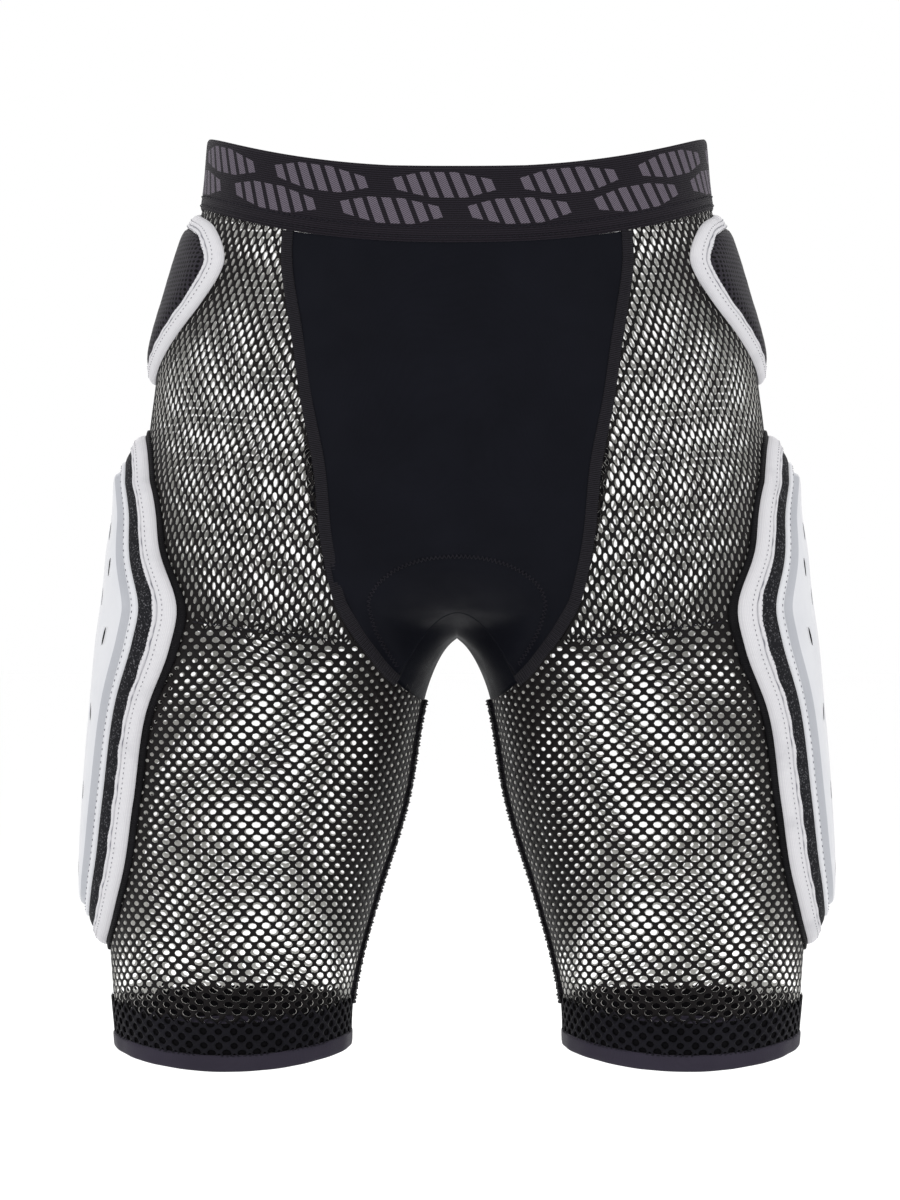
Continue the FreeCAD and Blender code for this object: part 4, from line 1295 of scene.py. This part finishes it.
for side in ("left", "right"):
    guard(side)
    cushion(side + "_hip_cushion", side, HIP_PAD, 3.0, side_place, 7.4, HIP_REACH, 9.6,
            side + "_hip_pad_cover", side + "_hip_pad_foam")
    binding(side + "_hip_binding_tape", side, smooth_loop(HIP_PAD, 180), 3.0, side_place, 1.2, 7.4, 7.4,
            HIP_REACH, side + "_hip_pad_binding", "pelvis")
cushion("tail_cushion", "", TAIL_PAD, 0.0, back_place, 7.0, TAIL_REACH, 10.2,
        "tail_pad_cover", "tail_pad_foam")
binding("tail_binding_tape", "", smooth_loop(TAIL_PAD, 150), 0.0, back_place, 1.8, 7.0, 9.4, TAIL_REACH,
        "tail_pad_binding", "pelvis")


# ---- chamois zig-zag stitch on the front panel ----------------------------------------------------
def chamois_zigzag():
    """Zig-zag thread along the chamois outline, which a spline smooths first."""
    fine = []
    last = len(oval) - 1
    for k in range(last):
        before, a, b, after = oval[max(k - 1, 0)], oval[k], oval[k + 1], oval[min(k + 2, last)]
        for t in np.linspace(0, 1, 12, endpoint=False):
            fine.append(0.5 * ((2 * a) + (b - before) * t + (2 * before - 5 * a + 4 * b - after) * t ** 2
                               + (3 * a - before - 3 * b + after) * t ** 3))
    fine = np.array(fine)
    reach = reaches(fine)
    goal = np.arange(0, reach[-1], 1.25)
    line = resampled(fine, reach, goal)
    across = np.gradient(line, axis=0)
    across = np.stack([-across[:, 1], across[:, 0]], 1) / np.linalg.norm(across, axis=1, keepdims=True)
    zig = line + across * np.where(np.arange(len(line)) % 2, 1.3, -1.3)[:, None]
    spot, up = draped(facing(zig[:, 0], zig[:, 1], FRONT))
    spot = spot + up * (1.0 + chamois_relief(spot))[:, None]
    thread = tube_stitches("chamois_zigzag", spot[:-1], spot[1:], up[:-1], 0.33, M["thread_dark"])
    piece(thread, "pelvis", "seam_tape")


chamois_zigzag()

# ---- camera, light, floor ---------------------------------------------------------------------
scene = bpy.context.scene
camera = bpy.data.objects.new("camera", bpy.data.cameras.new("camera"))
camera.location = (-0.0043, -2.3, -0.282)
camera.rotation_euler = (math.pi / 2, 0, 0)
camera.data.lens = 112.0
camera.data.sensor_width = 36.0
camera.data.clip_end = 100.0
scene.collection.objects.link(camera)
scene.camera = camera

floor_mat = Shader("floor_paper", linear(255, 255, 255), 0.9, 0.1)
floor_mat.roughen(floor_mat.ramp(floor_mat.noise(6.0), 0.3, 0.7, 0.88, 0.92))
half = 20000.0
corners = [(-half, -half, -720), (half, -half, -720), (half, half, -720), (-half, half, -720)]
floor = add_mesh("floor", corners, [(0, 1, 2, 3)], [floor_mat.mat], smooth=False)

world = bpy.data.worlds.new("studio")
world.use_nodes = True
world.node_tree.nodes["Background"].inputs["Color"].default_value = (1, 1, 1, 1)
world.node_tree.nodes["Background"].inputs["Strength"].default_value = 1.0
scene.world = world


def lamp(name, where, aim, size, power):
    light = bpy.data.lights.new(name, "AREA")
    light.size = size
    light.energy = power
    obj = bpy.data.objects.new(name, light)
    obj.location = where
    direction = np.array(aim) - np.array(where)
    obj.rotation_euler = Vector(direction).to_track_quat("-Z", "Y").to_euler()
    scene.collection.objects.link(obj)


lamp("key", (-1.6, -2.0, 1.2), (0, 0, -0.3), 1.2, 9)
lamp("fill", (1.8, -1.8, 0.6), (0, 0, -0.3), 1.4, 5)
lamp("top", (0.0, 0.4, 2.0), (0, 0, -0.3), 1.6, 9)
lamp("rear", (0.0, 2.4, 0.6), (0, 0, -0.3), 1.6, 9)
scene.view_settings.view_transform = "Standard"

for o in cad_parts.values():
    if not o.hide_render:
        print("still shown:", o.name)
